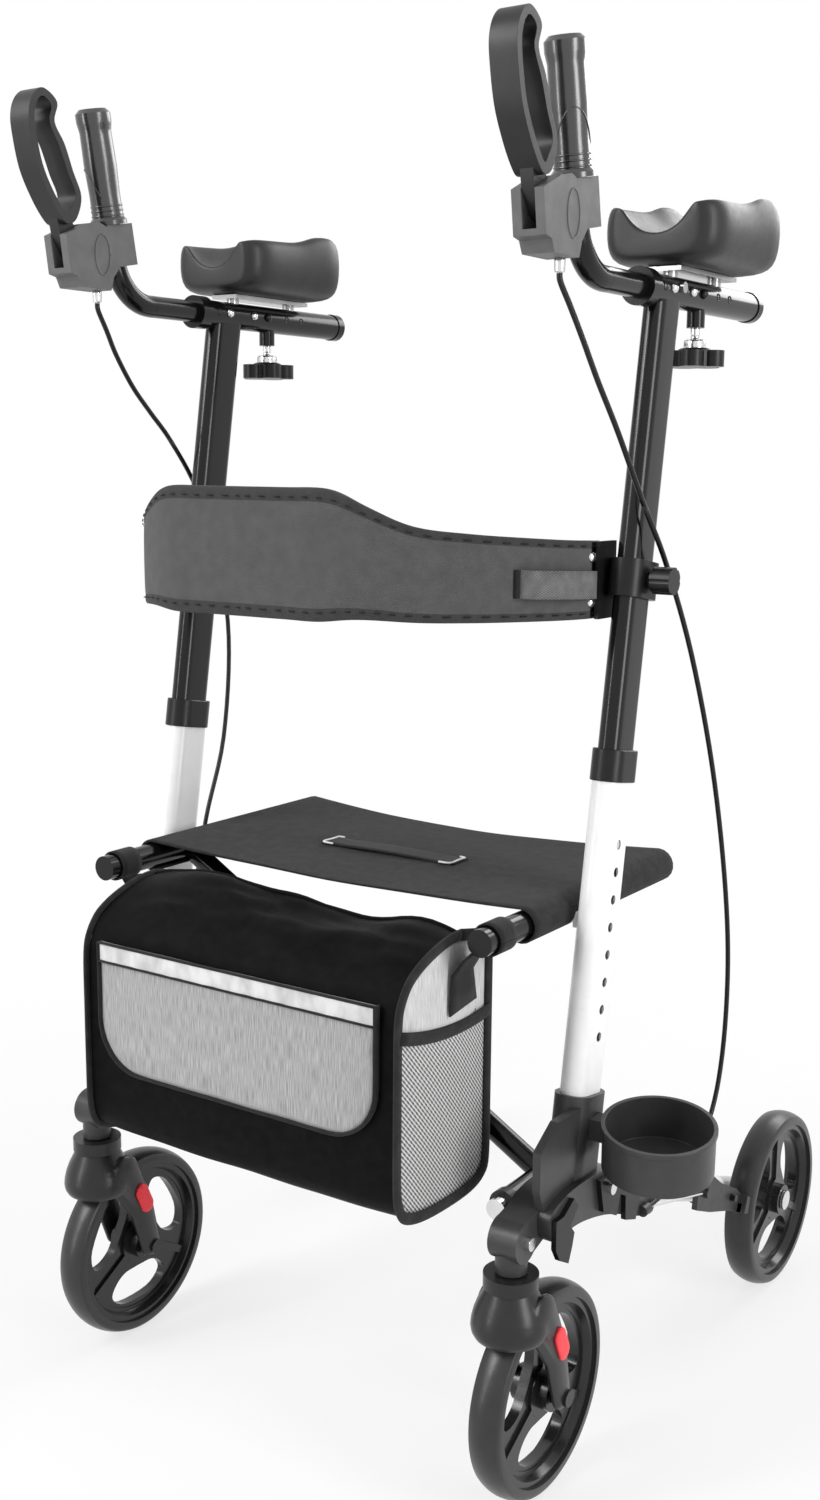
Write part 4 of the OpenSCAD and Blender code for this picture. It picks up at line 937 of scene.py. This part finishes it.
KNOB_NUT = [(15.2, 9.2), (15.2, 10.4), (16.4, 11), (23.4, 11), (24.8, 10.2), (25.4, 8), (25.4, 4.6)]
KNOB_STEM = [(25, 4.3), (30, 4.3), (31, 4.6), (37, 4.6), (37.6, 4.3)]
KNOB_BOSS = [(13.5, 16), (15, 16), (16.6, 15), (17.6, 12.5), (17.8, 9)]
DOME = [(-1, 4.6), (1.2, 4.6), (2.6, 4.0), (3.8, 2.6), (4.4, 0.8)]
HOLE = [(-1, 3.6), (0.25, 3.6), (0.3, 2.8), (-0.8, 2.4)]
STUD_X, STUD_Z = 14, HANDLE_Z + 1
STUDS = ((152, HOLE, "clip_plastic"), (168, DOME, "bright_metal"), (208, DOME, "bright_metal"),
         (232, DOME, "clip_plastic"), (266, HOLE, "clip_plastic"), (292, HOLE, "clip_plastic"))


def on_grip(s, radius, angle, height):
    """Point round the grip: angle from the outer side towards the front."""
    x, y = radius * math.cos(angle), -radius * math.sin(angle)
    return at(s * (UPRIGHT_X + x), CORNER + y * math.cos(GRIP_LEAN) - height * math.sin(GRIP_LEAN),
              HANDLE_Z + height * math.cos(GRIP_LEAN) + y * math.sin(GRIP_LEAN))


def add_grip_rings(side, s):
    parts = []
    for height, r in GRIP_RINGS:
        loop = [on_grip(s, r, 2 * math.pi * k / 32, height) for k in range(33)]
        parts.append(tube("ring", loop, GRIP_RING_R, "grip_rubber", 8, up=(0, 0.18, 1)))
    arch = []
    for k in range(25):
        climb = math.sin(math.pi * k / 24)
        arch.append(on_grip(s, SEAM_OUT + climb, lerp(*SEAM_TURN, k / 24), SEAM_Z + SEAM_H * climb))
    parts.append(tube("seam", arch, SEAM_R, "grip_rubber", 6))
    grip_rings = joined(f"{side}_grip_rings", parts)
    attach(grip_rings, f"handle_{side}")


def add_ovals(side, s):
    parts = []
    for face in (-1, 1):
        loop = []
        for k in range(41):
            a = 2 * math.pi * k / 40
            y, z = OVAL_Y + OVAL_HALF[0] * math.cos(a), OVAL_Z + OVAL_HALF[1] * math.sin(a)
            loop.append(at(s * (UPRIGHT_X + face * OVAL_X), y, z))
        parts.append(tube("oval", loop, OVAL_R, "housing_plastic", 8))
    ovals = joined(f"{side}_housing_ovals", parts)
    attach(ovals, f"handle_{side}")


def add_fittings():
    for side, s in SIDES:
        add_grip_rings(side, s)
        add_ovals(side, s)
        foot = at(s * UPRIGHT_X, FERRULE_Y, FERRULE_Z)
        ferrule = turned(f"{side}_ferrule", foot, (0, 0, 1), FERRULE, "bright_metal")
        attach(ferrule, f"handle_{side}")
        foot = at(s * UPRIGHT_X, KNOB_Y, KNOB_Z)
        nut = turned(f"{side}_knob_nut", foot, (0, 0, 1), KNOB_NUT, "bright_metal", 6)
        stem = turned(f"{side}_knob_stem", foot, (0, 0, 1), KNOB_STEM, "bright_metal", 24)
        boss = turned(f"{side}_knob_boss", foot, (0, 0, 1), KNOB_BOSS, "clip_plastic", 32)
        for o in (nut, stem, boss):
            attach(o, f"reach_knob_{side}")
        studs = []
        for y, outline, look in STUDS:
            for face in (-1, 1):
                place = at(s * UPRIGHT_X + face * STUD_X, y, STUD_Z)
                studs.append(turned("stud", place, (face, 0, 0), outline, look))
        studs = joined(f"{side}_sleeve_studs", studs)
        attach(studs, f"mast_{side}")


# Oval reflectors of 36 by 17 mm on the outer faces of the fork legs
FORK_X, LENS_Y, LENS_Z, LENS_TURN = 254.5, -19, -36, math.radians(24)
LENS_R, LENS_STRAIGHT = 8.5, 9.5
LENS_RINGS = ((32.6, 1), (35.7, 1), (36.3, 0.98), (36.7, 0.93), (36.9, 0.84), (37, 0.5), (37, 0.1))


def lens_ring(s, face, out, size):
    """Oval lying along the leg, at a distance from the fork's middle."""
    ring = []
    for k in range(48):
        a = 2 * math.pi * k / 48
        along = LENS_R * math.sin(a) + LENS_STRAIGHT * (1 if math.sin(a) > 0 else -1)
        across = LENS_R * math.cos(a)
        y = across * math.cos(LENS_TURN) - along * math.sin(LENS_TURN)
        z = across * math.sin(LENS_TURN) + along * math.cos(LENS_TURN)
        ring.append(at(s * FORK_X + face * out, LENS_Y + size * y, LENS_Z + size * z))
    return ring


def add_lenses():
    for side, s in SIDES:
        parts = []
        for face in (-1, 1):
            rings = [lens_ring(s, face, out, size) for out, size in LENS_RINGS]
            parts.append(loft("lens", rings, "reflector_red"))
        lenses = joined(f"{side}_lenses", parts)
        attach(lenses, f"caster_{side}")
        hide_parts(f"{side}_reflector")


# Floor, world and lights
FLOOR_HALF, FLOOR_SHADE = 30, 0.88
FLOOR_FADE = (("From Min", 0.45), ("From Max", 1.5), ("To Min", 0.72), ("To Max", 1.0))
WORLD_LIGHT, WORLD_SEEN = 0.4, 1.0
LAMPS = (("key", (-1.6, -2.4, 2.6), (0, 0, 0.6), (1.6, 1.6), 60),
         ("side", (2.8, -0.5, 1.5), (0, 0, 0.7), (0.9, 2.6), 55),
         ("behind", (0.5, 2.6, 2.2), (0, 0, 0.7), (2.0, 1.2), 40),
         ("strip", (-1.25, -2.5, 1.25), (0, 0, 0.75), (0.22, 2.4), 20))


def add_floor():
    """White floor that keeps a soft shadow near the object and fades to plain white away from it."""
    floor = bpy.data.objects.new("floor", bpy.data.meshes.new("floor"))
    scene.collection.objects.link(floor)
    h = FLOOR_HALF
    floor.data.from_pydata([(-h, -h, 0), (h, -h, 0), (h, h, 0), (-h, h, 0)], [], [(0, 1, 2, 3)])
    n = Nodes("floor")
    n.set(Base_Color=(*grey(FLOOR_SHADE), 1), Roughness=0.9)
    glow = n.add("ShaderNodeEmission")
    glow.inputs["Strength"].default_value = 1.0
    rays = n.add("ShaderNodeLightPath").outputs
    seen = n.math("MAXIMUM", rays["Is Camera Ray"], rays["Is Glossy Ray"])
    seen = n.math("MAXIMUM", seen, rays["Is Transmission Ray"])
    away = n.add("ShaderNodeVectorMath", operation="LENGTH")
    n.link(n.coords.outputs["Object"], away.inputs[0])
    fade = n.add("ShaderNodeMapRange", interpolation_type="SMOOTHSTEP")
    for socket, value in FLOOR_FADE:
        fade.inputs[socket].default_value = value
    n.link(away.outputs["Value"], fade.inputs["Value"])
    mix = n.add("ShaderNodeMixShader")
    n.link(n.math("MULTIPLY", seen, fade.outputs[0]), mix.inputs[0])
    n.link(n.shader.outputs[0], mix.inputs[1])
    n.link(glow.outputs[0], mix.inputs[2])
    n.link(mix.outputs[0], n.tree.nodes["Material Output"].inputs["Surface"])
    floor.data.materials.append(n.mat)


def add_world():
    """White world, dimmer as a light than as a background."""
    world = bpy.data.worlds.new("world")
    scene.world = world
    world.use_nodes = True
    tree = world.node_tree
    background = tree.nodes["Background"]
    rays = tree.nodes.new("ShaderNodeLightPath").outputs
    seen = rays["Is Camera Ray"]
    for ray in ("Is Glossy Ray", "Is Transmission Ray"):
        either = tree.nodes.new("ShaderNodeMath")
        either.operation = "MAXIMUM"
        tree.links.new(seen, either.inputs[0])
        tree.links.new(rays[ray], either.inputs[1])
        seen = either.outputs[0]
    level = tree.nodes.new("ShaderNodeMapRange")
    level.inputs["To Min"].default_value = WORLD_LIGHT
    level.inputs["To Max"].default_value = WORLD_SEEN
    tree.links.new(seen, level.inputs["Value"])
    tree.links.new(level.outputs[0], background.inputs["Strength"])
    background.inputs["Color"].default_value = (1, 1, 1, 1)


def add_lamps():
    for name, place, aim, size, power in LAMPS:
        light = bpy.data.lights.new(name, "AREA")
        light.shape = "RECTANGLE"
        light.size, light.size_y = size
        light.energy = power
        obj = bpy.data.objects.new(name, light)
        scene.collection.objects.link(obj)
        obj.location = place
        obj.rotation_mode = "QUATERNION"
        obj.rotation_quaternion = (Vector(aim) - Vector(place)).to_track_quat("-Z", "Y")


dress_nodes()
add_camera()
add_cables()
add_seat()
add_lift_strap()
add_bag()
add_flap()
add_belt()
add_pads()
add_fittings()
add_lenses()
add_floor()
add_world()
add_lamps()
